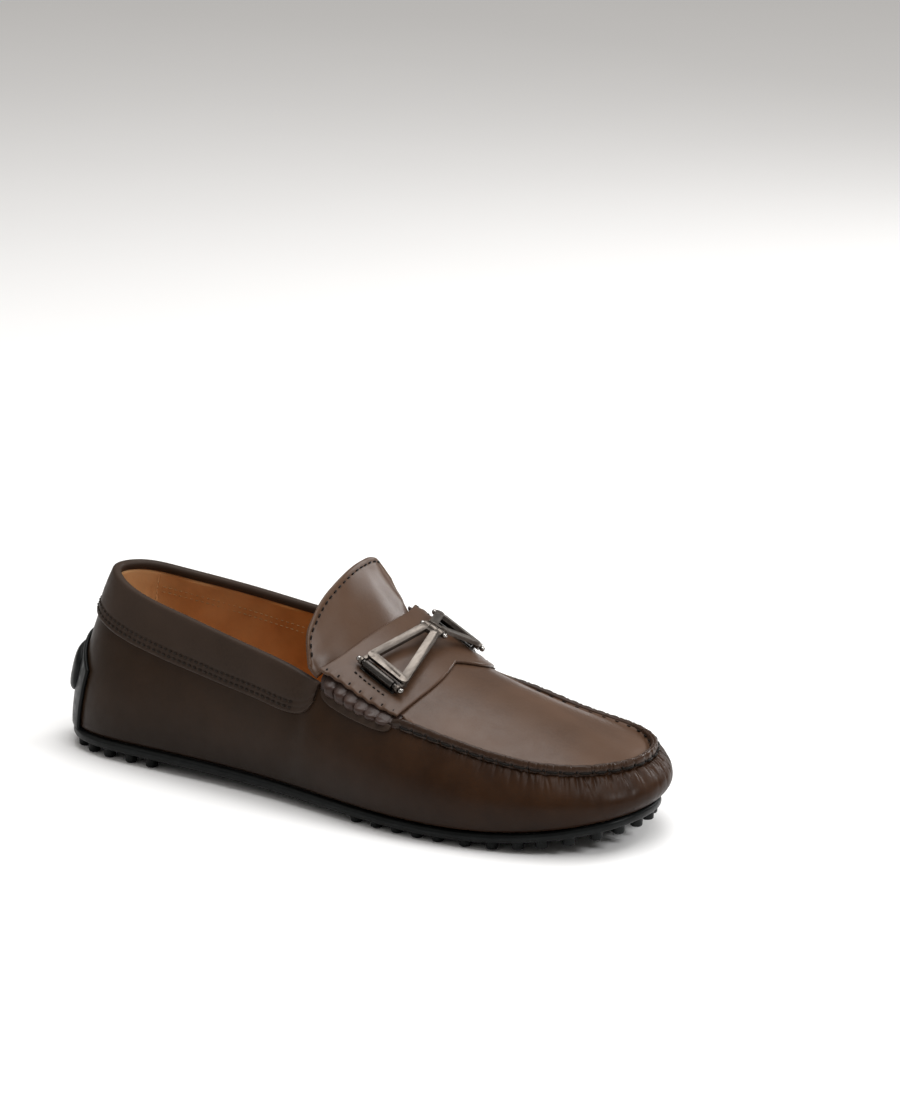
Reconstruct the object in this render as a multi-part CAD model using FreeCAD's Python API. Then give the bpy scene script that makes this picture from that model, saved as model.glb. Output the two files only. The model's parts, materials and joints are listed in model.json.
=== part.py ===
"""Driving moccasin, right shoe: leather slip-on with a moc-toe seam, a saddle strap and a hinged ornament.

Every piece is built in the shoe's own frame: x runs from the heel to the toe, y is negative on the
lateral side, z is the height above the floor, all in millimetres. Each piece is moved by SHIFT when it
is written, so that the row's origin is at the middle of the bottom of the whole shoe.
"""
import FreeCAD
import Part
import math
import os

V = FreeCAD.Vector

# ---------------------------------------------------------------- driving dimensions (mm)
SHIFT = V(-145.6, 2.2, 0)

# Feather line, where the upper meets the sole: x, lateral half width, medial half width.
FEATHER_HEEL_X = 4.0
FEATHER_TOE = (283.8, 2.9)
FEATHER = [
    (14, 23.0, 18.7), (50, 32.9, 26.9), (90, 34.6, 26.1), (130, 38.2, 28.2), (170, 44.8, 35.3),
    (205, 47.5, 41.2), (235, 44.2, 40.5), (262, 35.0, 33.0), (278, 21.9, 18.4),
]
# Collar's top edge: x, lateral half width, medial half width, height.
COLLAR_HEEL = (21.3, 0.0, 77.1)
COLLAR = [
    (26.1, 9.0, 11.4, 76.5), (39.8, 17.8, 19.9, 73.4), (69.8, 25.3, 26.6, 68.5),
    (109.8, 31.7, 31.4, 62.3), (141.0, 34.6, 34.0, 55.5),
]
# Moc seam between the side wall and the apron: x, lateral half width, medial half width.
SEAM_TOE = (277.6, 3.5)
SEAM = [
    (156.0, 34.6, 33.4), (175.9, 38.1, 35.0), (203.3, 39.4, 37.9), (232.8, 36.6, 37.7), (258.0, 29.1, 35.3),
]
SEAM_BESIDE_STRAP_Z = [(150.0, 50.8), (170.0, 46.2), (190.0, 43.6)]

# Instep crown (outer face of the apron): x, crest height, crest y, fall 40 mm to the lateral side,
# fall 40 mm to the medial side, power of the medial fall.
CROWN = [
    (140, 74.2, 14.0, 9.0, 18.0, 2.9), (155, 69.7, 13.0, 9.0, 18.0, 2.7), (170, 64.3, 10.0, 9.6, 18.0, 2.2),
    (190, 57.0, 6.0, 9.3, 17.4, 1.8), (205, 52.6, 5.0, 10.2, 16.4, 1.7), (233, 45.3, 4.0, 9.6, 13.1, 1.7),
    (258, 38.3, 3.5, 7.9, 8.6, 1.7), (278, 31.4, 3.5, 7.0, 7.5, 1.7), (295, 25.0, 3.5, 6.5, 7.0, 1.7),
]
LATERAL_POWER = 1.7

# Heights of the outsole's upper and lower faces along the shoe.
SOLE_TOP = [
    (-20, 8.4), (40, 8.4), (90, 8.3), (140, 7.45), (190, 6.5), (215, 6.6), (235, 7.6), (255, 10.0),
    (270, 12.8), (284, 16.0), (310, 23.9),
]
SOLE_BOTTOM = [
    (-20, 4.0), (40, 4.0), (90, 3.9), (140, 3.1), (190, 2.5), (215, 2.6), (235, 3.6), (255, 6.0),
    (270, 8.8), (284, 12.0), (310, 19.9),
]

# Side wall: how far its profile swells out low and high, from heel (0) to toe (1).
BULGE_LOW = [(0, 5.5), (0.1, 6.0), (0.35, 5.0), (0.55, 7.0), (0.7, 8.0), (1, 8.2)]
BULGE_HIGH = [(0, 3.0), (0.1, 3.4), (0.35, 3.0), (0.55, 5.0), (0.7, 6.7), (1, 8.0)]

WALL_T = 1.6
LINING_T = 1.0
COUNTER_T = 0.9
COLLAR_T = 1.2
COLLAR_BAND = 19.0
APRON_T = 1.4
STRAP_T = 1.5
GAP = 0.15
TAB_GAP = 0.45

STUD_R = 2.6
STUD_PITCH = 9.6
STUD_PROUD = 3.1
RIM_ROW = 3.9
STITCH_R = 0.38
# Raised seam: pole height on the lateral side and toe, half of it along the medial side.
RIDGE_RISE = 4.4

# Saddle strap's rear edge: y, x.
STRAP_REAR = [(-37, 149.0), (-27, 152.3), (-12, 154.8), (0, 156.0), (10, 156.2), (24, 154.6), (36, 149.5)]

# Tongue: slope above the horizontal and length from its root to its edge, by y.
TONGUE_LEAN = 49.0
TONGUE_ROOT_GAP = 1.7
TONGUE_LENGTH = [
    (-35, 5.0), (-33, 10.0), (-30, 15.5), (-25, 19.5), (-18, 22.8), (-8, 25.5), (4, 27.5),
    (14, 28.5), (22, 28.0), (28, 25.6), (31.5, 21.0), (33, 14.5),
]

# Ornament: each end's place on the strap (x, y, turn in plan), then plates, rollers and pins.
BIT_ENDS = [(172.5, -27.0, -0.22), (172.0, 31.0, 0.16)]
BIT_HINGE = (174.0, 8.5)
HINGE_RISE = 5.4
PIN_RISE = 2.75
PIN_R = 0.8
ROLLER_R = 1.9
ROLLER_HALF = 8.4
PLATE_T = 1.7
PLATE_W = 3.6
BAR_W = 3.8


# ---------------------------------------------------------------- smooth curves
def spline(points):
    """Natural cubic curve through (u, v) points, straight beyond its ends."""
    us = [float(p[0]) for p in points]
    vs = [float(p[1]) for p in points]
    n = len(us)
    diag = [1.0] * n
    upper = [0.0] * n
    rhs = [0.0] * n
    for i in range(1, n - 1):
        left = us[i] - us[i - 1]
        right = us[i + 1] - us[i]
        slope = (vs[i + 1] - vs[i]) / right - (vs[i] - vs[i - 1]) / left
        factor = 2.0 * (left + right) - left * upper[i - 1]
        diag[i] = factor
        upper[i] = right / factor
        rhs[i] = (6.0 * slope - left * rhs[i - 1]) / factor
    bend = [0.0] * n
    for i in range(n - 2, 0, -1):
        bend[i] = rhs[i] - upper[i] * bend[i + 1]

    def value(u):
        i = 0
        while i < n - 2 and u > us[i + 1]:
            i += 1
        h = us[i + 1] - us[i]
        a = (us[i + 1] - u) / h
        b = (u - us[i]) / h
        if u < us[0] or u > us[-1]:
            end = 0 if u < us[0] else n - 1
            run = (vs[i + 1] - vs[i]) / h
            run += h * (bend[i] * (0 if end else -2) + bend[i + 1] * (2 if end else 0)) / 6.0
            run += h * (bend[i + 1] * (0 if end else -1) + bend[i] * (1 if end else 0)) / 6.0
            return vs[end] + run * (u - us[end])
        cubic = (a ** 3 - a) * bend[i] + (b ** 3 - b) * bend[i + 1]
        return a * vs[i] + b * vs[i + 1] + cubic * h * h / 6.0

    return value


crest_z = spline([(row[0], row[1]) for row in CROWN])
crest_y = spline([(row[0], row[2]) for row in CROWN])
fall_lateral = spline([(row[0], row[3]) for row in CROWN])
fall_medial = spline([(row[0], row[4]) for row in CROWN])
power_medial = spline([(row[0], row[5]) for row in CROWN])
strap_rear = spline(STRAP_REAR)
sole_top = spline(SOLE_TOP)
sole_bottom = spline(SOLE_BOTTOM)
bulge_low = spline(BULGE_LOW)
bulge_high = spline(BULGE_HIGH)
tongue_length = spline(TONGUE_LENGTH)
seam_beside_strap = spline(SEAM_BESIDE_STRAP_Z)


def crown(x, y):
    """Height of the apron's outer face."""
    off = y - crest_y(x)
    if off > 0:
        return crest_z(x) - fall_medial(x) * (off / 40.0) ** power_medial(x)
    return crest_z(x) - fall_lateral(x) * (-off / 40.0) ** LATERAL_POWER


class Ring:
    """Closed curve around the shoe, found by side and by its fraction of the way from heel to toe."""

    def __init__(self, points):
        wrap = points[-4:] + points + points[:5]
        t = [0.0]
        for a, b in zip(wrap[:-1], wrap[1:]):
            t.append(t[-1] + math.dist(a, b))
        self.axes = [spline(list(zip(t, [p[k] for p in wrap]))) for k in range(3)]
        self.heel = self.extreme(t[3], t[5], -1)
        toe = 4 + max(range(len(points)), key=lambda i: points[i][0])
        self.toe = self.extreme(t[toe - 1], t[toe + 1], 1)
        self.end = self.heel + t[4 + len(points)] - t[4]

    def extreme(self, low, high, sign):
        for _ in range(60):
            a = low + (high - low) / 3.0
            b = high - (high - low) / 3.0
            if sign * self.axes[0](a) < sign * self.axes[0](b):
                low = a
            else:
                high = b
        return 0.5 * (low + high)

    def at(self, s):
        """Point at s: 0 is the heel, 1 the toe by the lateral side, 2 the heel again by the medial side."""
        s = s % 2.0
        x0 = self.axes[0](self.heel)
        x1 = self.axes[0](self.toe)
        x = x0 + (x1 - x0) * (1.0 - math.cos(math.pi * s)) / 2.0
        low, high = (self.heel, self.toe) if s <= 1.0 else (self.end, self.toe)
        for _ in range(48):
            mid = 0.5 * (low + high)
            if self.axes[0](mid) < x:
                low = mid
            else:
                high = mid
        mid = 0.5 * (low + high)
        return V(self.axes[0](mid), self.axes[1](mid), self.axes[2](mid))


def feather_ring():
    points = [(FEATHER_HEEL_X, 0.0, 0.0)]
    points += [(x, -lateral, 0.0) for x, lateral, medial in FEATHER]
    points += [(FEATHER_TOE[0], FEATHER_TOE[1], 0.0)]
    points += [(x, medial, 0.0) for x, lateral, medial in reversed(FEATHER)]
    return Ring(points)


def seam_z(x, y):
    """Height of the wall's upper edge in front of the collar."""
    if x < 190.0:
        return seam_beside_strap(x)
    blend = min(1.0, (x - 190.0) / 10.0)
    return (1.0 - blend) * seam_beside_strap(190.0) + blend * crown(x, y)


def top_ring():
    points = [COLLAR_HEEL]
    points += [(x, -lateral, z) for x, lateral, medial, z in COLLAR]
    points += [(x, -lateral, seam_z(x, -lateral)) for x, lateral, medial in SEAM]
    points += [(SEAM_TOE[0], SEAM_TOE[1], crown(*SEAM_TOE))]
    points += [(x, medial, seam_z(x, medial)) for x, lateral, medial in reversed(SEAM)]
    points += [(x, medial, z) for x, lateral, medial, z in reversed(COLLAR)]
    return Ring(points)


FEATHER_RING = feather_ring()
TOP_RING = top_ring()


def outward(ring, s):
    """Unit vector in plan, pointing out of the shoe."""
    run = ring.at(s + 0.004) - ring.at(s - 0.004)
    flat = V(run.y, -run.x, 0)
    flat.normalize()
    return flat


def x_at(s):
    return TOP_RING.at(s).x


def s_at(x, lateral=True):
    """Ring position where the wall's upper edge stands at x."""
    low, high = 0.0, 1.0
    for _ in range(40):
        mid = 0.5 * (low + high)
        if x_at(mid) < x:
            low = mid
        else:
            high = mid
    return low if lateral else 2.0 - low


# ---------------------------------------------------------------- surfaces and solids
def clamped(count, degree):
    inner = count - degree - 1
    return [degree + 1] + [1] * inner + [degree + 1], [float(i) for i in range(inner + 2)]


def patch(poles):
    """Smooth face over a grid of poles, cubic each way where there are enough of them."""
    du = min(3, len(poles) - 1)
    dv = min(3, len(poles[0]) - 1)
    umults, uknots = clamped(len(poles), du)
    vmults, vknots = clamped(len(poles[0]), dv)
    surface = Part.BSplineSurface()
    surface.buildFromPolesMultsKnots(poles, umults, vmults, uknots, vknots, False, False, du, dv)
    return surface.toShape()


def skin_solid(segments):
    """Solid between matching outer and inner grids; each segment starts on the last one's final row."""
    faces = []
    for outer, inner in segments:
        faces.append(patch(outer))
        faces.append(patch(inner))
        for end in (0, -1):
            faces.append(patch([outer[end], inner[end]]))
    first_outer, first_inner = segments[0]
    last_outer, last_inner = segments[-1]
    faces.append(patch([[row[0] for row in first_outer], [row[0] for row in first_inner]]))
    faces.append(patch([[row[-1] for row in last_outer], [row[-1] for row in last_inner]]))
    shell = Part.Shell(faces)
    if not shell.isClosed():
        sewn = Part.makeCompound(faces)
        sewn.sewShape(0.001)
        shell = sewn.Shells[0]
    solid = Part.Solid(shell)
    if solid.Volume < 0:
        solid.reverse()
    return solid


def write(node, shape):
    """Move one piece into the row's frame and write its file."""
    moved = shape.copy()
    moved.translate(SHIFT)
    for number, solid in enumerate(moved.Solids):
        if not solid.isValid() or solid.Volume <= 0:
            print("CHECK", node, "solid", number, "valid", solid.isValid(), "volume", solid.Volume)
    moved.exportStep("parts/" + node + ".step")
    box = moved.BoundBox
    print("%-26s %3d solids %9.1f mm3  x %.1f %.1f  y %.1f %.1f  z %.1f %.1f" % (
        node, len(moved.Solids), moved.Volume, box.XMin, box.XMax, box.YMin, box.YMax, box.ZMin, box.ZMax))


# ---------------------------------------------------------------- side wall and the layers on it
def rib(s):
    """Outer profile of the wall at s, as four poles from the sole to the upper edge."""
    foot = FEATHER_RING.at(s)
    out = outward(FEATHER_RING, s)
    foot = foot - out * 1.0
    foot.z = sole_top(foot.x) + GAP
    head = TOP_RING.at(s)
    lean = outward(TOP_RING, s)
    ahead = min(1.0, max(0.0, (head.x - 141.0) / 9.0))
    ahead = ahead * ahead * (3.0 - 2.0 * ahead)
    head = head + lean * (2.1 * ahead - 0.5) - V(0, 0, 1.6 * (1.0 - ahead))
    fraction = (1.0 - math.cos(math.pi * s)) / 2.0
    chord = head - foot
    low = foot + chord * 0.32 + out * bulge_low(fraction)
    high = foot + chord * 0.72 + out * bulge_high(fraction)
    return [foot, low, high, head], out


def split(poles, v0, v1):
    """Part of a four-pole curve between v0 and v1."""
    def upto(p, v):
        a = [p[i] + (p[i + 1] - p[i]) * v for i in range(3)]
        b = [a[i] + (a[i + 1] - a[i]) * v for i in range(2)]
        c = b[0] + (b[1] - b[0]) * v
        return [p[0], a[0], b[0], c]

    head = upto(poles, v1)
    tail = upto(list(reversed(head)), 1.0 - v0 / v1)
    return list(reversed(tail))


def frame_at(s, v):
    """Point on the wall's outer face, its outward normal and its upward direction, within the rib."""
    poles, out = rib(s)
    low = max(0.0, min(v, 0.995))
    piece = split(poles, low, low + 0.005)
    point = piece[0]
    up = piece[3] - piece[0]
    up.normalize()
    normal = out - up * out.dot(up)
    normal.normalize()
    return point, normal, up


def layer_rib(s, depth, v0, v1):
    """Profile lying depth mm inside the wall's outer face (negative is outside)."""
    poles, out = rib(s)
    first, middle, last = poles[1] - poles[0], poles[2] - poles[1], poles[3] - poles[2]
    for side in (first, middle, last):
        side.normalize()
    ups = [first, first + middle, middle + last, last]
    moved = []
    for pole, up in zip(poles, ups):
        up.normalize()
        normal = out - up * out.dot(up)
        normal.normalize()
        moved.append(pole - normal * depth)
    return split(moved, v0, v1)


def wall_layer(s0, s1, count, near, far, v0, v1):
    """Curved sheet on the wall between two depths; v0 and v1 may be numbers or functions of s."""
    outer = []
    inner = []
    for i in range(count):
        s = s0 + (s1 - s0) * i / (count - 1.0)
        low = v0(s) if callable(v0) else v0
        high = v1(s) if callable(v1) else v1
        outer.append(layer_rib(s, near, low, high))
        inner.append(layer_rib(s, far, low, high))
    return skin_solid([(outer, inner)])


def upper_wall():
    return wall_layer(0.003, 1.997, 85, 0.0, WALL_T, 0.0, 1.0)


def heel_counter():
    near = WALL_T + GAP
    return wall_layer(-0.132, 0.132, 19, near, near + COUNTER_T, 0.05, 0.62)


def heel_grip_lining():
    near = WALL_T + COUNTER_T + 2 * GAP
    return wall_layer(-0.137, 0.137, 19, near, near + LINING_T, 0.07, 0.985)


def quarter_lining(lateral):
    near = WALL_T + GAP
    s0, s1 = (0.1395, 0.497) if lateral else (1.503, 1.8605)
    return wall_layer(s0, s1, 21, near, near + LINING_T, 0.06, 0.985)


def vamp_lining():
    near = WALL_T + GAP
    return wall_layer(0.499, 1.501, 51, near, near + LINING_T, 0.06, 0.86)


S_THROAT = 0.499


def v_below_edge(s, drop):
    """Fraction of the rib at which its profile is drop mm below the wall's upper edge."""
    poles, out = rib(s)
    low, high = 0.3, 1.0
    for _ in range(24):
        mid = 0.5 * (low + high)
        point = split(poles, mid * 0.999, mid)[3]
        if (poles[3] - point).Length > drop:
            low = mid
        else:
            high = mid
    return 0.5 * (low + high)


def collar_drop(s):
    """Height of the collar band, rounded off at its two front ends."""
    from_heel = min(s % 2.0, 2.0 - s % 2.0)
    start = S_THROAT - 0.05
    if from_heel <= start:
        return COLLAR_BAND - 2.5 * max(0.0, from_heel - 0.3) / 0.2
    t = min(1.0, (from_heel - start) / (S_THROAT - start))
    full = COLLAR_BAND - 2.5 * (start - 0.3) / 0.2
    return full - (full - 6.0) * (1.0 - math.sqrt(max(0.0, 1.0 - t * t)))


def collar_low(s):
    return v_below_edge(s, collar_drop(s))


def collar_band():
    """Outer band, rolled over the topline and ending in a short lip inside."""
    lip = WALL_T + COUNTER_T + LINING_T + 3 * GAP
    skins = [([], []), ([], []), ([], [])]
    count = 61
    for i in range(count):
        t = -1.0 + 2.0 * i / (count - 1.0)
        s = S_THROAT * (0.75 * t + 0.25 * t ** 3)
        low = collar_low(s)
        legs = [layer_rib(s, -GAP - COLLAR_T, low, 1.0), layer_rib(s, -GAP, low, 1.0)]
        inner_legs = [layer_rib(s, lip + COLLAR_T, 0.9, 1.0), layer_rib(s, lip, 0.9, 1.0)]
        poles, out = rib(s)
        up = poles[3] - poles[2]
        up.normalize()
        rises = (2.6, 1.0)
        for side in (0, 1):
            start = legs[side][3]
            end = inner_legs[side][3]
            roll = [start, start + up * rises[side], end + up * rises[side], end]
            skins[0][side].append(legs[side])
            skins[1][side].append(roll)
            skins[2][side].append(list(reversed(inner_legs[side])))
    return skin_solid(skins)


def side_tab(lateral):
    """Flat end of the saddle strap, sewn to the wall below the gathers."""
    s0, s1 = s_at(151.5), s_at(186.5)

    def low(s):
        t = (min(s % 2.0, 2.0 - s % 2.0) - s0) / (s1 - s0)
        round_off = math.sqrt(max(0.0, 1.0 - abs(2.0 * t - 1.0) ** 6))
        return v_below_edge(s, 1.4 + 2.9 * round_off)

    if lateral:
        return wall_layer(s0, s1, 17, -TAB_GAP - 1.1, -TAB_GAP, low, 0.985)
    return wall_layer(2.0 - s1, 2.0 - s0, 17, -TAB_GAP - 1.1, -TAB_GAP, low, 0.985)


def heel_tab():
    """Rubber guard that runs up the back of the heel."""
    half = 0.145

    def high(s):
        from_heel = min(s % 2.0, 2.0 - s % 2.0) / half
        return 0.56 - 0.16 * min(1.0, from_heel) ** 2

    return wall_layer(-half, half, 25, -GAP - 1.6, -GAP, 0.0, high)


def heel_bumper():
    """Rounded pad standing proud of the heel guard."""
    outer = []
    inner = []
    half = 0.105
    count = 25
    for i in range(count):
        s = -half + 2.0 * half * i / (count - 1.0)
        round_off = math.sqrt(max(0.0, 1.0 - (s / half) ** 4))
        low = 0.33 - 0.15 * (0.25 + 0.75 * round_off)
        high = 0.33 + 0.15 * (0.25 + 0.75 * round_off)
        near = -2.0 * GAP - 1.6
        outer.append(layer_rib(s, near - 0.8 - 2.1 * round_off, low + 0.02, high - 0.02))
        inner.append(layer_rib(s, near, low, high))
    return skin_solid([(outer, inner)])


# ---------------------------------------------------------------- sole
def outline_face(inset, z):
    """Flat face inside the feather line, inset mm from it."""
    points = []
    count = 72
    for i in range(count):
        s = 2.0 * i / count
        point = FEATHER_RING.at(s) - outward(FEATHER_RING, s) * inset
        points.append(V(point.x, point.y, z))
    curve = Part.BSplineCurve()
    curve.interpolate(Points=points, PeriodicFlag=True)
    return Part.Face(Part.Wire([curve.toShape()]))


def profile_slab(bottom, top, x0, x1):
    """Slab across the shoe between two height curves."""
    def edge(height):
        xs = [x0 + (x1 - x0) * i / 24.0 for i in range(25)]
        curve = Part.BSplineCurve()
        curve.interpolate([V(x, -80, height(x)) for x in xs])
        return curve.toShape()

    upper = edge(top)
    lower = edge(bottom)
    ends = []
    for x in (x0, x1):
        ends.append(Part.makeLine(V(x, -80, bottom(x)), V(x, -80, top(x))))
    wire = Part.Wire(Part.__sortEdges__([upper, ends[1], lower, ends[0]]))
    return Part.Face(wire).extrude(V(0, 160, 0))


def sole_sheet(inset, bottom, top, x0=-15.0, x1=305.0):
    prism = outline_face(inset, -5.0).extrude(V(0, 0, 60.0))
    return prism.common(profile_slab(bottom, top, x0, x1)).Solids[0]


def inside_outline(x, y, inset):
    """True when a point is at least inset mm inside the feather line."""
    nearest = min(FEATHER_EDGE, key=lambda row: math.hypot(x - row[0].x, y - row[0].y))
    edge, out = nearest
    return (V(x, y, 0) - V(edge.x, edge.y, 0)).dot(out) < -inset


FEATHER_EDGE = []
for step in range(240):
    FEATHER_EDGE.append((FEATHER_RING.at(step / 120.0), outward(FEATHER_RING, step / 120.0)))


def stud_places(x0, x1):
    """A row of stud centres along the rim, then staggered rows inside it, between two stations."""
    places = []
    walked = STUD_PITCH
    before = None
    for edge, out in FEATHER_EDGE + FEATHER_EDGE[:1]:
        point = edge - out * RIM_ROW
        if before is not None:
            walked += math.hypot(point.x - before.x, point.y - before.y)
        before = point
        if not x0 <= point.x <= x1:
            continue
        if walked < STUD_PITCH or any(math.hypot(point.x - a, point.y - b) < 8.0 for a, b in places):
            continue
        places.append((point.x, point.y))
        walked = 0.0
    rim = list(places)
    row = 0
    x = x0
    while x <= x1:
        for step in range(-7, 8):
            y = STUD_PITCH * (step + 0.5 * (row % 2))
            clear = all(math.hypot(x - a, y - b) > 8.0 for a, b in rim)
            if clear and inside_outline(x, y, RIM_ROW + 7.5):
                places.append((x, y))
        row += 1
        x += STUD_PITCH * 0.88
    return places


FOREFOOT_STUDS = stud_places(170.0, 281.0)
HEEL_STUDS = stud_places(6.0, 62.0)


def stud(x, y, reach):
    """Rubber stud with a chamfered tip, from the floor side up into its base sheet."""
    tip = max(0.0, sole_bottom(x) - STUD_PROUD) if x > 100.0 else 0.0
    top = sole_top(x) + reach
    cone = Part.makeCone(STUD_R - 0.8, STUD_R, 0.9, V(x, y, tip))
    shank = Part.makeCylinder(STUD_R, top - tip - 0.9, V(x, y, tip + 0.9))
    return cone.fuse(shank).removeSplitter()


def pebbles(places, x0, x1):
    """Base sheet on the outsole with the studs that pass through the outsole's holes."""
    base = sole_sheet(5.2, lambda x: sole_top(x) + 0.1, lambda x: sole_top(x) + 1.1, x0, x1)
    margin = sole_sheet(-2.0, lambda x: sole_top(x) + 0.04, lambda x: sole_top(x) + 3.0)
    margin = margin.cut(outline_face(5.3, -5.0).extrude(V(0, 0, 60.0)))
    studs = [stud(x, y, 0.6).cut(margin) for x, y in places]
    return base.fuse(studs).removeSplitter()


def outsole():
    plate = sole_sheet(-0.2, sole_bottom, sole_top)
    holes = []
    for x, y in FOREFOOT_STUDS + HEEL_STUDS:
        holes.append(Part.makeCylinder(STUD_R + 0.15, 14.0, V(x, y, sole_bottom(x) - 3.0)))
    return plate.cut(Part.makeCompound(holes)).Solids[0]


def insole_board():
    return sole_sheet(5.4, lambda x: sole_top(x) + 1.25, lambda x: sole_top(x) + 2.75)


def footbed_foam():
    return sole_sheet(5.4, lambda x: sole_top(x) + 2.85, lambda x: sole_top(x) + 5.85)


def sock_lining():
    return sole_sheet(5.2, lambda x: sole_top(x) + 5.95, lambda x: sole_top(x) + 6.95)


# ---------------------------------------------------------------- apron, strap and tongue
def crown_slab(low, high, x0, x1):
    """Slab that follows the instep crown between two offsets, wider than the shoe."""
    def grid(offset):
        rows = []
        for i in range(31):
            x = x0 + (x1 - x0) * i / 30.0
            row = []
            for j in range(29):
                y = -56.0 + 112.0 * j / 28.0
                row.append(V(x, y, crown(x, y) + offset))
            rows.append(row)
        return rows

    return skin_solid([(grid(high), grid(low))])


def apron_outline(inset, rear_x):
    """Apron's plan: inside the moc seam, narrower beside the gathers, with a straight rear edge."""
    points = []
    s_rear = s_at(rear_x)
    count = 44
    for i in range(count + 1):
        s = s_rear + (2.0 - 2.0 * s_rear) * i / count
        seam = TOP_RING.at(s)
        narrow = 2.4 * min(1.0, max(0.0, (197.0 - seam.x) / 8.0))
        point = seam - outward(TOP_RING, s) * (inset + narrow)
        points.append((point.x, point.y))
    return points


def apron_piece(inset, rear_x, low, high):
    points = apron_outline(inset, rear_x)
    curve = Part.BSplineCurve()
    curve.interpolate([V(x, y, 0) for x, y in points])
    back = Part.makeLine(V(points[-1][0], points[-1][1], 0), V(points[0][0], points[0][1], 0))
    prism = Part.Face(Part.Wire([curve.toShape(), back])).extrude(V(0, 0, 120.0))
    return crown_slab(low, high, 146.0, 292.0).common(prism).Solids[0]


def apron():
    return apron_piece(0.25, 157.0, -APRON_T, 0.0)


def apron_lining():
    return apron_piece(5.0, 158.0, -APRON_T - GAP - 0.8, -APRON_T - GAP)


def seam_ridge():
    """Raised, turned-up edge of the moc seam, from one end of the strap round the toe to the other."""
    s0 = s_at(190.4)
    outer = []
    inner = []
    count = 61
    for i in range(count):
        s = s0 + (2.0 - 2.0 * s0) * i / (count - 1.0)
        seam = TOP_RING.at(s)
        out = outward(TOP_RING, s)
        wall_side = seam + out * 2.0
        wall_side.z = seam.z + 0.16
        apron_side = seam - out * 1.3
        apron_side.z = max(crown(apron_side.x, apron_side.y), seam.z) + 0.16
        up = V(0, 0, 1)
        rise = RIDGE_RISE * (1.0 - 0.5 * min(1.0, max(0.0, (s - 1.04) / 0.16)))
        outer.append([
            wall_side + up * 0.35,
            wall_side + up * rise,
            apron_side + up * (rise - 0.2),
            apron_side + up * 0.3,
        ])
        base = [wall_side - out * 0.25, None, None, apron_side + out * 0.25]
        base[1] = base[0] + (base[3] - base[0]) / 3.0
        base[2] = base[0] + (base[3] - base[0]) * 2.0 / 3.0
        inner.append(base)
    return skin_solid([(outer, inner)])


def gathers(lateral):
    """Six leather rolls under the saddle strap's end, standing on the wall's upper edge."""
    above_wall = profile_slab(
        lambda x: TOP_RING.at(s_at(x, lateral)).z + 0.25, lambda x: 90.0, 148.0, 192.0)
    rolls = []
    radius = 3.15
    for i in range(6):
        s = s_at(154.9 + 5.6 * i, lateral)
        seam = TOP_RING.at(s)
        out = outward(TOP_RING, s)
        centre = seam + out * 1.0
        over = seam + out * 2.0
        middle = crown(over.x, over.y) - radius
        roll = Part.makeSphere(radius, V(centre.x, centre.y, middle))
        if middle > seam.z - 1.0:
            foot = V(centre.x, centre.y, seam.z - 2.0)
            roll = roll.fuse(Part.makeCylinder(radius, middle - foot.z, foot))
        rolls.append(roll.common(above_wall))
    return rolls[0].fuse(rolls[1:]).removeSplitter()


def strap_edge_point(x, lateral):
    """Edge of the strap in plan: over the gathers at the rear, on the seam at the front."""
    s = s_at(x, lateral)
    point = TOP_RING.at(s) + outward(TOP_RING, s) * (2.3 - 2.6 * (x - 149.0) / 40.0)
    return V(point.x, point.y, 0)


def saddle_strap():
    """Band across the instep; its front edge is notched at the middle."""
    lateral_side = [strap_edge_point(x, True) for x in (149.2, 158.0, 168.0, 178.0, 188.5)]
    medial_side = [strap_edge_point(x, False) for x in (188.5, 178.0, 168.0, 158.0, 149.6)]
    apex = V(189.0, 5.5, 0)
    front_lateral = [lateral_side[-1], V(191.0, -24.0, 0), V(191.6, -8.0, 0), apex]
    front_medial = [apex, V(194.0, 17.0, 0), V(192.8, 27.0, 0), medial_side[0]]
    rear = [V(strap_rear(y), y, 0) for y in (28.0, 18.0, 8.0, -3.0, -14.0, -26.0)]
    rear = [medial_side[-1]] + rear + [lateral_side[0]]
    edges = []
    for run in (lateral_side, front_lateral, front_medial, medial_side, rear):
        curve = Part.BSplineCurve()
        curve.interpolate(run)
        edges.append(curve.toShape())
    prism = Part.Face(Part.Wire(edges)).extrude(V(0, 0, 120.0))
    return crown_slab(GAP, GAP + STRAP_T, 143.0, 202.0).common(prism).Solids[0]


def tongue_grid(depth, trim, root_gap):
    """Grid over the tongue, from its root just behind the strap to its rounded edge."""
    lean = math.radians(TONGUE_LEAN)
    along = V(-math.cos(lean), 0, math.sin(lean))
    rows = []
    first = TONGUE_LENGTH[0][0] + trim
    last = TONGUE_LENGTH[-1][0] - trim
    count = 27
    for i in range(count):
        t = -1.0 + 2.0 * i / (count - 1.0)
        t = 0.55 * t + 0.45 * math.sin(t * math.pi / 2.0)
        y = 0.5 * (first + last) + 0.5 * (last - first) * t
        root_x = strap_rear(y) - TONGUE_ROOT_GAP - root_gap
        slope = -(crown(root_x, y + 0.5) - crown(root_x, y - 0.5))
        normal = V(math.sin(lean), slope, math.cos(lean))
        normal.normalize()
        root = V(root_x, y, crown(154.5, y) - 0.4)
        reach = max(tongue_length(y) - trim, 2.0)
        curl = V(-0.5, 0, -0.35)
        row = []
        for j in range(6):
            k = j / 5.0
            point = root + along * (reach * k) + curl * (1.6 * math.sin(math.pi * k))
            row.append(point - normal * depth)
        rows.append(row)
    return rows


def tongue_sheet(near, far, trim, root_gap):
    return skin_solid([(tongue_grid(near, trim, root_gap), tongue_grid(far, trim, root_gap))])


def tongue():
    return tongue_sheet(0.0, 1.5, 0.0, 0.0)


def tongue_lining():
    return tongue_sheet(1.65, 2.35, 1.0, 1.0)


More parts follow.
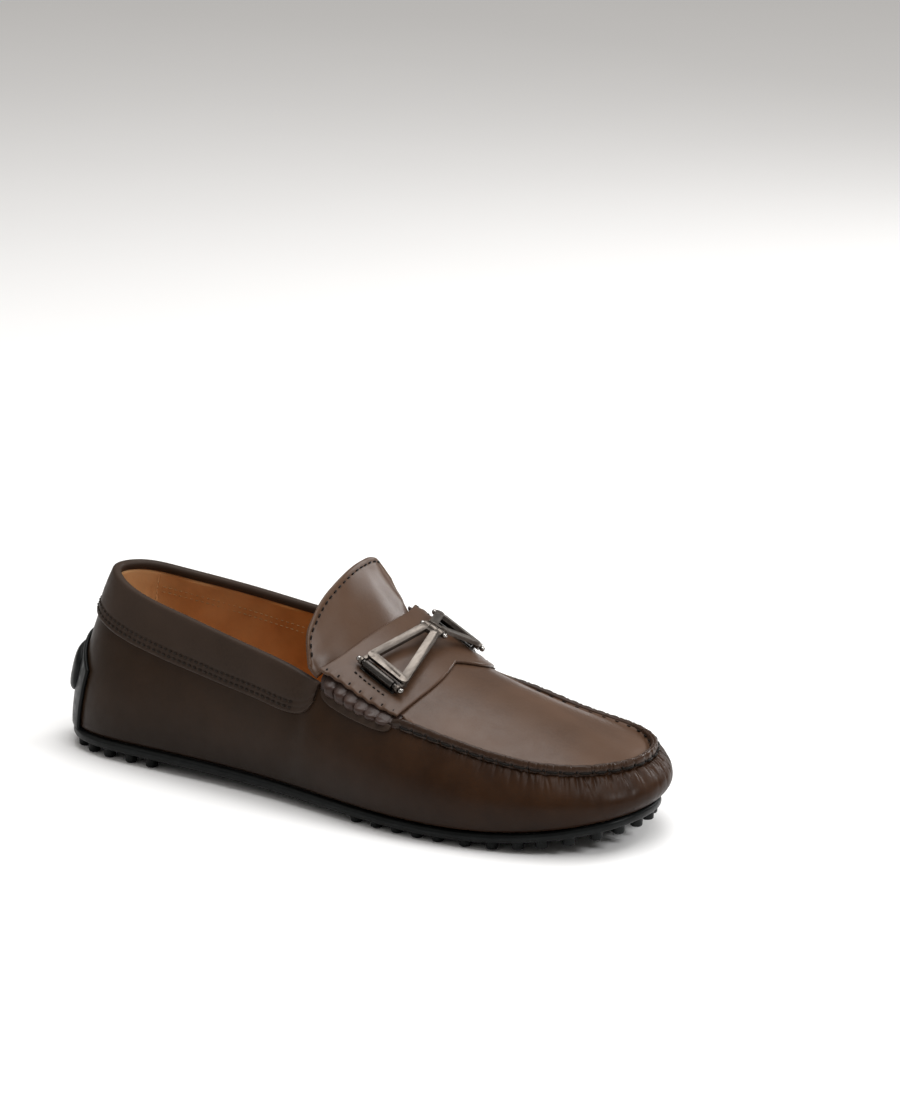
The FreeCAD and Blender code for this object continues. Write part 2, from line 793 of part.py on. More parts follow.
# ---------------------------------------------------------------- thread
def stitch(start, end):
    """Short round thread run."""
    run = end - start
    return Part.makeCylinder(STITCH_R, run.Length, start, run)


def collar_stitches():
    """Two rows just above the band's lower edge."""
    runs = []
    for rise in (2.2, 4.6):
        count = 60
        for i in range(count):
            t = -1.0 + 2.0 * (i + 0.5) / count
            s = (S_THROAT - 0.02) * (0.75 * t + 0.25 * t ** 3)
            step = 0.0026 + 0.0018 * (1.0 - abs(t))
            ends = []
            for at in (s - step, s + step):
                v = v_below_edge(at, collar_drop(at) - rise)
                point, normal, up = frame_at(at, v)
                ends.append(point + normal * (GAP + COLLAR_T + STITCH_R + 0.12))
            runs.append(stitch(ends[0], ends[1]))
    return Part.makeCompound(runs)


def seam_stitches():
    """Thread runs along the outer foot of the raised seam."""
    runs = []
    s0 = s_at(197.0)
    count = 38
    for i in range(count):
        s = s0 + (2.0 - 2.0 * s0) * (i + 0.5) / count
        ends = []
        for at in (s - 0.0085, s + 0.0085):
            seam = TOP_RING.at(at)
            out = outward(TOP_RING, at)
            ends.append(seam + out * 2.85 + V(0, 0, 1.35))
        runs.append(stitch(ends[0], ends[1]))
    return Part.makeCompound(runs)


def tongue_stitches():
    """One row 2.5 mm inside the tongue's edge."""
    edge = [row[-1] for row in tongue_grid(-STITCH_R - 0.12, 2.5, 0.0)]
    runs = []
    walk = [0.0]
    for a, b in zip(edge[:-1], edge[1:]):
        walk.append(walk[-1] + (b - a).Length)
    along = [spline(list(zip(walk, [p[k] for p in edge]))) for k in range(3)]
    at = 2.0
    while at < walk[-1] - 4.0:
        start = V(along[0](at), along[1](at), along[2](at))
        end = V(along[0](at + 2.3), along[1](at + 2.3), along[2](at + 2.3))
        runs.append(stitch(start, end))
        at += 4.2
    return Part.makeCompound(runs)


# ---------------------------------------------------------------- ornament
def strap_face(x, y):
    return crown(x, y) + GAP + STRAP_T


def strap_axes(x, y, turn):
    """Point on the strap with unit vectors along it, across it towards the medial side, and out of it."""
    slope_x = (strap_face(x + 8.0, y + 8.0 * turn) - strap_face(x - 8.0, y - 8.0 * turn)) / 16.0
    slope_y = (strap_face(x, y + 2.0) - strap_face(x, y - 2.0)) / 4.0
    along = V(1.0, turn, slope_x)
    along.normalize()
    across = V(0.0, 1.0, slope_y)
    out = along.cross(across)
    out.normalize()
    across = out.cross(along)
    return V(x, y, strap_face(x, y)), along, across, out


def place(shape, origin, along, across, out):
    """Move a shape from its own axes onto a point and three unit vectors."""
    matrix = FreeCAD.Matrix(
        along.x, across.x, out.x, origin.x,
        along.y, across.y, out.y, origin.y,
        along.z, across.z, out.z, origin.z,
        0, 0, 0, 1)
    placed = shape.copy()
    placed.Placement = FreeCAD.Placement(matrix)
    return placed


def beam(start, end, up, width, thick, base):
    """Straight bar with round ends, its lower face base mm above the line between two points."""
    along = end - start
    length = along.Length
    along.normalize()
    across = up.cross(along)
    across.normalize()
    out = along.cross(across)
    body = Part.makeBox(length, width, thick, V(0, -0.5 * width, base))
    ends = [Part.makeCylinder(0.5 * width, thick, V(x, 0, base)) for x in (0, length)]
    return place(body.fuse(ends), start, along, across, out)


def bar_x(radius, half, x=0.0):
    return Part.makeCylinder(radius, 2.0 * half, V(x - half, 0, 0), V(1, 0, 0))


def ornament_end(side):
    """Centre line of a roller's pin."""
    origin, along, across, out = strap_axes(*BIT_ENDS[side])
    return origin + out * PIN_RISE, along, across, out


def ornament_hinge():
    """Centre line of the middle hinge, above the crest of the strap."""
    origin, along, across, out = strap_axes(BIT_HINGE[0], BIT_HINGE[1], 0.0)
    along = V(along.x, 0, along.z)
    along.normalize()
    across = V(0, 1, 0)
    out = along.cross(across)
    return origin + out * HINGE_RISE, along, across, out


def ornament_link(side):
    """Open frame that spans from a roller's pin to the middle hinge."""
    pin, along, across, out = ornament_end(side)
    middle, axis, over, up = ornament_hinge()
    inward = across if side == 0 else -across
    outer = [pin + inward * 4.4 + along * x + out * 0.5 for x in (-9.6, 9.6)]
    back = -over if side == 0 else over
    inner = [middle + back * 3.7 + axis * x - up * 0.5 for x in (-2.9, 2.9)]
    solid = beam(outer[0], outer[1], out, PLATE_W, PLATE_T, 0.0)
    for a, b in zip(outer, inner):
        solid = solid.fuse(beam(a, b, (out + up), BAR_W, PLATE_T, 0.0))
    for x in (-10.95, 10.95):
        ear = Part.makeBox(1.5, 4.4, 1.6, V(x - 0.75, 0 if side == 0 else -4.4, -0.8))
        boss = bar_x(1.6, 0.75, x)
        solid = solid.fuse(place(ear.fuse(boss), pin, along, across, out))
    spans = ((-4.7, -1.9), (1.9, 4.7)) if side == 0 else ((-1.7, 1.7),)
    for a, b in spans:
        knuckle = bar_x(1.75, 0.5 * (b - a), 0.5 * (a + b))
        arm = Part.makeBox(b - a, 4.2, 1.6, V(a, -4.2 if side == 0 else 0, -0.8))
        solid = solid.fuse(place(knuckle.fuse(arm), middle, axis, over, up))
    bridge = Part.makeBox(9.4, 1.8, 1.7, V(-4.7, -4.3 if side == 0 else 2.5, -0.6))
    solid = solid.fuse(place(bridge, middle, axis, over, up))
    other = ((-1.9, 1.9),) if side == 0 else ((-4.9, -1.7), (1.7, 4.9))
    for a, b in other:
        clear = bar_x(2.0, 0.5 * (b - a), 0.5 * (a + b))
        solid = solid.cut(place(clear, middle, axis, over, up))
    solid = solid.cut(place(bar_x(PIN_R + 0.08, 14.0), pin, along, across, out))
    solid = solid.cut(place(bar_x(PIN_R + 0.08, 14.0), middle, axis, over, up))
    return solid.removeSplitter()


def hinge_pin():
    heads = [Part.makeSphere(1.15, V(x, 0, 0)) for x in (-5.6, 5.6)]
    return place(bar_x(PIN_R, 5.4).fuse(heads).removeSplitter(), *ornament_hinge())


def roller(side):
    sleeve = bar_x(ROLLER_R, ROLLER_HALF)
    sleeve = sleeve.makeChamfer(0.25, [e for e in sleeve.Edges if e.Closed])
    return place(sleeve.cut(bar_x(PIN_R + 0.05, 14.0)), *ornament_end(side))


def roller_pin(side):
    heads = [Part.makeSphere(1.2, V(x, 0, 0)) for x in (-12.7, 12.7)]
    return place(bar_x(PIN_R, 12.5).fuse(heads).removeSplitter(), *ornament_end(side))


def keeper(side):
    """Bracket on the strap with two lugs that hold the roller's pin."""
    body = Part.makeBox(19.9, 4.0, 0.5, V(-9.95, -2.0, -2.54))
    for sign in (-1, 1):
        lug = Part.makeBox(1.3, 2.4, 2.54, V(8.65 if sign > 0 else -9.95, -1.2, -2.54))
        body = body.fuse(lug.fuse(bar_x(1.3, 0.65, sign * 9.3)))
    body = body.cut(bar_x(PIN_R + 0.02, 14.0))
    body = body.cut(bar_x(ROLLER_R + 0.12, ROLLER_HALF + 0.2))
    return place(body.removeSplitter(), *ornament_end(side))


def main():
    os.makedirs("parts", exist_ok=True)
    for side in (0, 1):
        pin, along, across, out = ornament_end(side)
        print("roller axis", side, pin + SHIFT, along)
    write("outsole", outsole())
    write("forefoot_pebbles", pebbles(FOREFOOT_STUDS, 164.0, 284.0))
    write("heel_pebbles", pebbles(HEEL_STUDS, 8.0, 66.0))
    write("insole_board", insole_board())
    write("footbed_foam", footbed_foam())
    write("sock_lining", sock_lining())
    write("upper_wall", upper_wall())
    write("heel_counter", heel_counter())
    write("heel_grip_lining", heel_grip_lining())
    write("quarter_lining_lateral", quarter_lining(True))
    write("quarter_lining_medial", quarter_lining(False))
    write("vamp_lining", vamp_lining())
    write("collar_band", collar_band())
    write("collar_stitches", collar_stitches())
    write("heel_guard", heel_tab())
    write("heel_bumper", heel_bumper())
    write("apron", apron())
    write("apron_lining", apron_lining())
    write("seam_ridge", seam_ridge())
    write("seam_stitches", seam_stitches())
    write("gathers_lateral", gathers(True))
    write("gathers_medial", gathers(False))
    write("side_tab_lateral", side_tab(True))
    write("side_tab_medial", side_tab(False))
    write("saddle_strap", saddle_strap())
    write("tongue", tongue())
    write("tongue_lining", tongue_lining())
    write("tongue_stitches", tongue_stitches())
    write("ornament_link_lateral", ornament_link(0))
    write("ornament_link_medial", ornament_link(1))
    write("ornament_hinge_pin", hinge_pin())
    write("roller_lateral", roller(0))
    write("roller_medial", roller(1))
    write("roller_pin_lateral", roller_pin(0))
    write("roller_pin_medial", roller_pin(1))
    write("roller_keeper_lateral", keeper(0))
    write("roller_keeper_medial", keeper(1))


main()
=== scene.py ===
"""Looks of the right driving moccasin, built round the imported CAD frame.

Shapes are worked out in the shoe's own frame in millimetres (x from heel to toe, y negative on the
lateral side, z up from the floor), as in the CAD, and moved into the row frame by SHIFT.
"""
import json
import math

import bmesh
import bpy
import numpy as np
from mathutils import Matrix, Vector

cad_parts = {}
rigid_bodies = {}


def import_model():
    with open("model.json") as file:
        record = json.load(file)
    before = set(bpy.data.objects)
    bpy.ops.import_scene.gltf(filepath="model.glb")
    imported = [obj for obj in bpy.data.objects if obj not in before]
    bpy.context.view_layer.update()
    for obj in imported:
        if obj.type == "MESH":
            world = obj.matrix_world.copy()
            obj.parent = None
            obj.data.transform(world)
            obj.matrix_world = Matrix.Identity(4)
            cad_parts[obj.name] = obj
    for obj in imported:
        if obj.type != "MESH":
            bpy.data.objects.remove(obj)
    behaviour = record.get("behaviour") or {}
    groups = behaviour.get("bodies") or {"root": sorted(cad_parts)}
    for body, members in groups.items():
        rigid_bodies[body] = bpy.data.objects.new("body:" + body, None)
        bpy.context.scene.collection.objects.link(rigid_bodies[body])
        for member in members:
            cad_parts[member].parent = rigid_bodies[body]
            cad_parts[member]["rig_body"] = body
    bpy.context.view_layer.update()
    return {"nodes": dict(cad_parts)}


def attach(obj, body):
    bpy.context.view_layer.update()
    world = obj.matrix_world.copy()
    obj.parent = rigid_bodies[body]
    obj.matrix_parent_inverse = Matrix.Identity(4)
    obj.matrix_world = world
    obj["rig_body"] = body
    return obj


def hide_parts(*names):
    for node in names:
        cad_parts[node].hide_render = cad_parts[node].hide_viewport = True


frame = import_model()

# ---- the CAD's driving dimensions (mm)
MM = 0.001
SHIFT = np.array([-145.6, 2.2, 0.0])
FEATHER_HEEL_X = 4.0
FEATHER_TOE = (283.8, 2.9)
FEATHER = [
    (14, 23.0, 18.7), (50, 32.9, 26.9), (90, 34.6, 26.1), (130, 38.2, 28.2), (170, 44.8, 35.3),
    (205, 47.5, 41.2), (235, 44.2, 40.5), (262, 35.0, 33.0), (278, 21.9, 18.4),
]
COLLAR_HEEL = (21.3, 0.0, 77.1)
COLLAR = [
    (26.1, 9.0, 11.4, 76.5), (39.8, 17.8, 19.9, 73.4), (69.8, 25.3, 26.6, 68.5),
    (109.8, 31.7, 31.4, 62.3), (141.0, 34.6, 34.0, 55.5),
]
SEAM_TOE = (277.6, 3.5)
SEAM = [
    (156.0, 34.6, 33.4), (175.9, 38.1, 35.0), (203.3, 39.4, 37.9), (232.8, 36.6, 37.7), (258.0, 29.1, 35.3),
]
SEAM_BESIDE_STRAP_Z = [(150.0, 50.8), (170.0, 46.2), (190.0, 43.6)]
CROWN = [
    (140, 74.2, 14.0, 9.0, 18.0, 2.9), (155, 69.7, 13.0, 9.0, 18.0, 2.7), (170, 64.3, 10.0, 9.6, 18.0, 2.2),
    (190, 57.0, 6.0, 9.3, 17.4, 1.8), (205, 52.6, 5.0, 10.2, 16.4, 1.7), (233, 45.3, 4.0, 9.6, 13.1, 1.7),
    (258, 38.3, 3.5, 7.9, 8.6, 1.7), (278, 31.4, 3.5, 7.0, 7.5, 1.7), (295, 25.0, 3.5, 6.5, 7.0, 1.7),
]
LATERAL_POWER = 1.7
SOLE_TOP = [
    (-20, 8.4), (40, 8.4), (90, 8.3), (140, 7.45), (190, 6.5), (215, 6.6), (235, 7.6), (255, 10.0),
    (270, 12.8), (284, 16.0), (310, 23.9),
]
SOLE_BOTTOM = [
    (-20, 4.0), (40, 4.0), (90, 3.9), (140, 3.1), (190, 2.5), (215, 2.6), (235, 3.6), (255, 6.0),
    (270, 8.8), (284, 12.0), (310, 19.9),
]
BULGE_LOW = [(0, 5.5), (0.1, 6.0), (0.35, 5.0), (0.55, 7.0), (0.7, 8.0), (1, 8.2)]
BULGE_HIGH = [(0, 3.0), (0.1, 3.4), (0.35, 3.0), (0.55, 5.0), (0.7, 6.7), (1, 8.0)]
STRAP_REAR = [(-37, 149.0), (-27, 152.3), (-12, 154.8), (0, 156.0), (10, 156.2), (24, 154.6), (36, 149.5)]
STRAP_APEX = (5.5, 189.0)
STRAP_SIDE_REAR_X = 149.2
STRAP_SIDE_FRONT_X = 188.5
STRAP_FRONT_LATERAL = [(-24.0, 191.0), (-8.0, 191.6)]
STRAP_FRONT_MEDIAL = [(17.0, 194.0), (27.0, 192.8)]
TONGUE_LEAN = 49.0
TONGUE_ROOT_GAP = 1.7
TONGUE_LENGTH = [
    (-35, 5.0), (-33, 10.0), (-30, 15.5), (-25, 19.5), (-18, 22.8), (-8, 25.5), (4, 27.5),
    (14, 28.5), (22, 28.0), (28, 25.6), (31.5, 21.0), (33, 14.5),
]
WALL_T = 1.6
LINING_T = 1.0
COUNTER_T = 0.9
COLLAR_T = 1.2
COLLAR_BAND = 19.0
STRAP_T = 1.5
GAP = 0.15
S_THROAT = 0.499
STUD_PROUD = 3.1
BIT_ENDS = [(172.5, -27.0, -0.22), (172.0, 31.0, 0.16)]
BIT_SEAM_AWAY = 4.6
SIDES = {True: ("a", "lateral"), False: ("b", "medial")}
COLLAR_ROWS = (2.2, 4.6)
SEAM_STITCH_PITCH = 6.4
GATHER_PITCH = 5.6
GATHER_FIRST_X = 154.9
rng = np.random.default_rng(11)


# ---- curves
class Curve:
    """Natural cubic through (u, v) points, straight beyond its ends."""

    def __init__(self, points):
        self.u = np.array([p[0] for p in points], float)
        self.v = np.array([p[1] for p in points], float)
        n = len(points)
        system = np.eye(n)
        right = np.zeros(n)
        for i in range(1, n - 1):
            a = self.u[i] - self.u[i - 1]
            b = self.u[i + 1] - self.u[i]
            system[i, i - 1:i + 2] = (a, 2 * (a + b), b)
            right[i] = 6 * ((self.v[i + 1] - self.v[i]) / b - (self.v[i] - self.v[i - 1]) / a)
        self.bend = np.linalg.solve(system, right)

    def __call__(self, at):
        at = np.asarray(at, float)
        i = np.clip(np.searchsorted(self.u, at) - 1, 0, len(self.u) - 2)
        h = self.u[i + 1] - self.u[i]
        inside = np.clip(at, self.u[0], self.u[-1])
        a = (self.u[i + 1] - inside) / h
        b = 1 - a
        v0, v1, m0, m1 = self.v[i], self.v[i + 1], self.bend[i], self.bend[i + 1]
        value = a * v0 + b * v1 + ((a ** 3 - a) * m0 + (b ** 3 - b) * m1) * h * h / 6
        slope = (v1 - v0) / h - (3 * a * a - 1) * h * m0 / 6 + (3 * b * b - 1) * h * m1 / 6
        return value + slope * (at - inside)


def bisect(low, high, short, rounds):
    """Narrow down the place where short stops being true."""
    for _ in range(rounds):
        middle = 0.5 * (low + high)
        more = short(middle)
        low = np.where(more, middle, low)
        high = np.where(more, high, middle)
    return 0.5 * (low + high)


class Ring:
    """Closed curve round the shoe: s is 0 at the heel, 1 at the toe by the lateral side, 2 the heel again."""

    def __init__(self, points):
        points = [np.array(p, float) for p in points]
        wrap = points[-4:] + points + points[:5]
        t = [0.0]
        for a, b in zip(wrap[:-1], wrap[1:]):
            t.append(t[-1] + float(np.linalg.norm(b - a)))
        self.axes = [Curve(list(zip(t, [p[k] for p in wrap]))) for k in range(3)]
        fine = np.linspace(t[3], t[5], 4001)
        heel = fine[np.argmin(self.axes[0](fine))]
        index = 4 + max(range(len(points)), key=lambda i: points[i][0])
        fine = np.linspace(t[index - 1], t[index + 1], 4001)
        toe = fine[np.argmax(self.axes[0](fine))]
        end = heel + t[4 + len(points)] - t[4]
        x0 = self.axes[0](heel)
        x1 = self.axes[0](toe)
        self.s = np.linspace(0, 2, 4001)
        want = x0 + (x1 - x0) * (1 - np.cos(np.pi * self.s)) / 2
        self.t = bisect(np.where(self.s <= 1, heel, end), toe, lambda at: self.axes[0](at) < want, 46)
        self.t[[0, -1]] = heel, end

    def at(self, s):
        t = np.interp(np.mod(s, 2.0), self.s, self.t)
        return np.stack([axis(t) for axis in self.axes], -1)


def unit(v):
    return v / np.maximum(np.linalg.norm(v, axis=-1, keepdims=True), 1e-12)


def smooth(t):
    t = np.clip(t, 0, 1)
    return t * t * (3 - 2 * t)


def bell(t):
    return np.exp(-t ** 2)


def up_by(z):
    z = np.asarray(z, float)
    return np.stack([np.zeros_like(z), np.zeros_like(z), z], -1)


crest_z, crest_y, fall_lateral, fall_medial, power_medial = (
    Curve([(row[0], row[k]) for row in CROWN]) for k in range(1, 6))
strap_rear = Curve(STRAP_REAR)
sole_top = Curve(SOLE_TOP)
sole_bottom = Curve(SOLE_BOTTOM)
bulge_low = Curve(BULGE_LOW)
bulge_high = Curve(BULGE_HIGH)
tongue_length = Curve(TONGUE_LENGTH)
seam_beside_strap = Curve(SEAM_BESIDE_STRAP_Z)


def crown(x, y):
    """Height of the apron's outer face."""
    off = y - crest_y(x)
    medial = fall_medial(x) * (np.maximum(off, 0) / 40) ** power_medial(x)
    lateral = fall_lateral(x) * (np.maximum(-off, 0) / 40) ** LATERAL_POWER
    return crest_z(x) - medial - lateral


def seam_z(x, y):
    if x < 190:
        return float(seam_beside_strap(x))
    share = min(1.0, (x - 190) / 10)
    return (1 - share) * float(seam_beside_strap(190)) + share * float(crown(x, y))


FEATHER_RING = Ring(
    [(FEATHER_HEEL_X, 0, 0)] + [(x, -a, 0) for x, a, b in FEATHER]
    + [(*FEATHER_TOE, 0)] + [(x, b, 0) for x, a, b in reversed(FEATHER)])
TOP_RING = Ring(
    [COLLAR_HEEL] + [(x, -a, z) for x, a, b, z in COLLAR]
    + [(x, -a, seam_z(x, -a)) for x, a, b in SEAM]
    + [(*SEAM_TOE, float(crown(*SEAM_TOE)))]
    + [(x, b, seam_z(x, b)) for x, a, b in reversed(SEAM)]
    + [(x, b, z) for x, a, b, z in reversed(COLLAR)])


def outward(ring, s):
    run = ring.at(s + 0.004) - ring.at(s - 0.004)
    return unit(np.stack([run[..., 1], -run[..., 0], np.zeros_like(run[..., 0])], -1))


def s_at(x, lateral=True):
    table = TOP_RING.s[TOP_RING.s <= 1]
    s = np.interp(x, TOP_RING.at(table)[:, 0], table)
    return s if lateral else 2 - s


# Distance along the upper edge of the wall, from the heel by the lateral side.
ARC_S = np.linspace(0, 2, 4001)
ARC_D = np.concatenate([[0], np.cumsum(np.linalg.norm(np.diff(TOP_RING.at(ARC_S), axis=0), axis=1))])
ARC_TOTAL = float(ARC_D[-2])


def arc_of(s):
    return np.interp(np.mod(s, 2.0), ARC_S[:-1], ARC_D[:-1])


def s_of(arc):
    return np.interp(arc, ARC_D[:-1], ARC_S[:-1])


def rib(s):
    """The wall's outer profile at s: four Bezier poles, and the direction out of the shoe."""
    s = np.asarray(s, float)
    foot = FEATHER_RING.at(s)
    out = outward(FEATHER_RING, s)
    foot = foot - out
    foot[..., 2] = sole_top(foot[..., 0]) + GAP
    head = TOP_RING.at(s)
    ahead = smooth((head[..., 0] - 141.0) / 9.0)
    head = head + outward(TOP_RING, s) * (2.1 * ahead - 0.5)[..., None] - up_by(1.6 * (1 - ahead))
    fraction = (1 - np.cos(np.pi * s)) / 2
    low = foot + (head - foot) * 0.32 + out * bulge_low(fraction)[..., None]
    high = foot + (head - foot) * 0.72 + out * bulge_high(fraction)[..., None]
    return (foot, low, high, head), out


def along_rib(poles, t):
    a, b, c, d = poles
    return a * (1 - t) ** 3 + 3 * b * t * (1 - t) ** 2 + 3 * c * t * t * (1 - t) + d * t ** 3


def wall(s, v, depth=0.0):
    """Point depth mm inside the wall's outer face, and the outward normal there."""
    s, v = np.broadcast_arrays(np.asarray(s, float), np.asarray(v, float))
    poles, out = rib(s)
    a, b, c, d = poles
    t = v[..., None]
    rise = unit((b - a) * (1 - t) ** 2 + 2 * (c - b) * t * (1 - t) + (d - c) * t * t)
    normal = unit(out - rise * np.sum(out * rise, -1, keepdims=True))
    return along_rib(poles, t) - normal * np.asarray(depth, float)[..., None], normal


def v_at(s, drop):
    """Share of the rib at which it is drop mm below the wall's upper edge."""
    s, drop = np.broadcast_arrays(np.asarray(s, float), np.asarray(drop, float))
    poles = rib(s)[0]

    def too_low(v):
        return np.linalg.norm(poles[3] - along_rib(poles, v[..., None]), axis=-1) > drop

    return bisect(np.zeros_like(drop), 1.0, too_low, 24)


def wall_run(s, drop, depth, face=1):
    """Thread run on the wall: its two ends, and the direction in which it stands out."""
    p, n = wall(s, v_at(s, drop), depth)
    return p[0], p[1], face * unit(n.sum(0))


# ---- meshes
def steps(count, length, radius=0.6):
    """Places from 0 to 1, with extra ones near both ends for a rounded edge of that radius."""
    share = min(0.2, radius / length)
    near = share * (1 - np.cos(np.linspace(0, np.pi / 2, 5)))
    return np.concatenate([near[:-1], np.linspace(share, 1 - share, count), 1 - near[:-1][::-1]])


def normals(grid, wrap=False):
    if wrap:
        du = np.roll(grid, -1, 0) - np.roll(grid, 1, 0)
    else:
        du = np.gradient(grid, axis=0)
    return unit(np.cross(du, np.gradient(grid, axis=1)))


def placed(name, data):
    """New object in the scene."""
    thing = bpy.data.objects.new(name, data)
    bpy.context.scene.collection.objects.link(thing)
    return thing


def piece(name, skin, material, body="shoe", replaced=()):
    """Mesh object from a skin: its points in shoe millimetres, and its faces."""
    points, faces = skin
    mesh = bpy.data.meshes.new(name)
    mesh.from_pydata(((np.asarray(points) + SHIFT) * MM).tolist(), [], faces)
    mesh.validate()
    mesh.materials.append(material)
    mesh.shade_smooth()
    thing = placed(name, mesh)
    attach(thing, body)
    if replaced:
        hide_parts(*replaced)


def quads(index, wrap=False):
    """Faces over a grid of vertex numbers."""
    if wrap:
        index = np.concatenate([index, index[:1]], 0)
    a, b, c, d = index[:-1, :-1], index[1:, :-1], index[1:, 1:], index[:-1, 1:]
    return np.stack([a, b, c, d], -1).reshape(-1, 4)


def sheet_mesh(outer, thickness, normal=None, radius=None, wrap=False, relief=None):
    """Closed sheet under an outer grid, with half-round borders; relief raises the outer face only."""
    if normal is None:
        normal = normals(outer, wrap)
    nu, nv = outer.shape[:2]
    along = np.linalg.norm(np.diff(outer, axis=0), axis=-1)
    across = np.linalg.norm(np.diff(outer, axis=1), axis=-1)
    v_walk = np.concatenate([np.zeros((nu, 1)), np.cumsum(across, 1)], 1)
    edge = np.minimum(v_walk, v_walk[:, -1:] - v_walk)
    if not wrap:
        u_walk = np.concatenate([np.zeros((1, nv)), np.cumsum(along, 0)], 0)
        edge = np.minimum(edge, np.minimum(u_walk, u_walk[-1:] - u_walk))
    radius = radius or 0.5 * thickness
    bow = np.sqrt(np.clip(1 - (1 - np.clip(edge / radius, 0, 1)) ** 2, 0, 1))[..., None]
    middle = outer - normal * (0.5 * thickness)
    face = middle + normal * (0.5 * thickness * bow)
    if relief is not None:
        face = face + normal * (relief[..., None] * bow)
    back = middle - normal * (0.5 * thickness * bow)
    number = np.arange(nu * nv).reshape(nu, nv)
    inner = number.copy()
    border = np.zeros((nu, nv), bool)
    border[:, [0, -1]] = True
    if not wrap:
        border[[0, -1]] = True
    inner[~border] = nu * nv + np.arange(int((~border).sum()))
    points = np.concatenate([face.reshape(-1, 3), back[~border]])
    faces = np.concatenate([quads(number, wrap), quads(inner, wrap)[:, ::-1]])
    return points, faces.tolist()


def tube_mesh(sections, wrap=False):
    """Closed skin through matching closed sections, capped at its two ends unless it closes on itself."""
    count, around = sections.shape[:2]
    number = np.arange(count * around).reshape(count, around)
    ring = np.concatenate([number, number[:, :1]], 1)
    points = sections.reshape(-1, 3)
    faces = quads(ring, wrap).tolist()
    if not wrap:
        points = np.concatenate([points, sections[:1].mean(1), sections[-1:].mean(1)])
        first, last = count * around, count * around + 1
        for j in range(around):
            k = (j + 1) % around
            faces.append([int(number[0, k]), int(number[0, j]), first])
            faces.append([int(number[-1, j]), int(number[-1, k]), last])
    return points, faces


def joined(parts):
    """One mesh from several (points, faces) pairs."""
    points, faces, base = [], [], 0
    for part_points, part_faces in parts:
        points.append(part_points)
        faces += [[i + base for i in face] for face in part_faces]
        base += len(part_points)
    return np.concatenate(points), faces


def thread_mesh(runs, radius=0.38, arch=0.5, sides=8):
    """Thread seen between its two holes: each run dives into the leather at both ends."""
    parts = []
    share = np.array([0.0, 0.04, 0.12, 0.25, 0.5, 0.75, 0.88, 0.96, 1.0])
    turn = 2 * np.pi * np.arange(sides) / sides
    for start, end, normal in runs:
        start, end, normal = (np.asarray(p, float) for p in (start, end, normal))
        ahead = unit(end - start)
        side = unit(np.cross(normal, ahead))
        rise = (arch + 0.9 * radius) * (np.clip(np.sin(np.pi * share), 0, 1) ** 0.45) - 0.9 * radius
        line = start + (end - start) * share[:, None] + normal * rise[:, None]
        size = radius * np.clip(1 - np.abs(2 * share - 1) ** 7, 0.12, 1)
        ring = line[:, None] + size[:, None, None] * (
            np.cos(turn)[None, :, None] * side + np.sin(turn)[None, :, None] * normal)
        parts.append(tube_mesh(ring))
    return joined(parts)


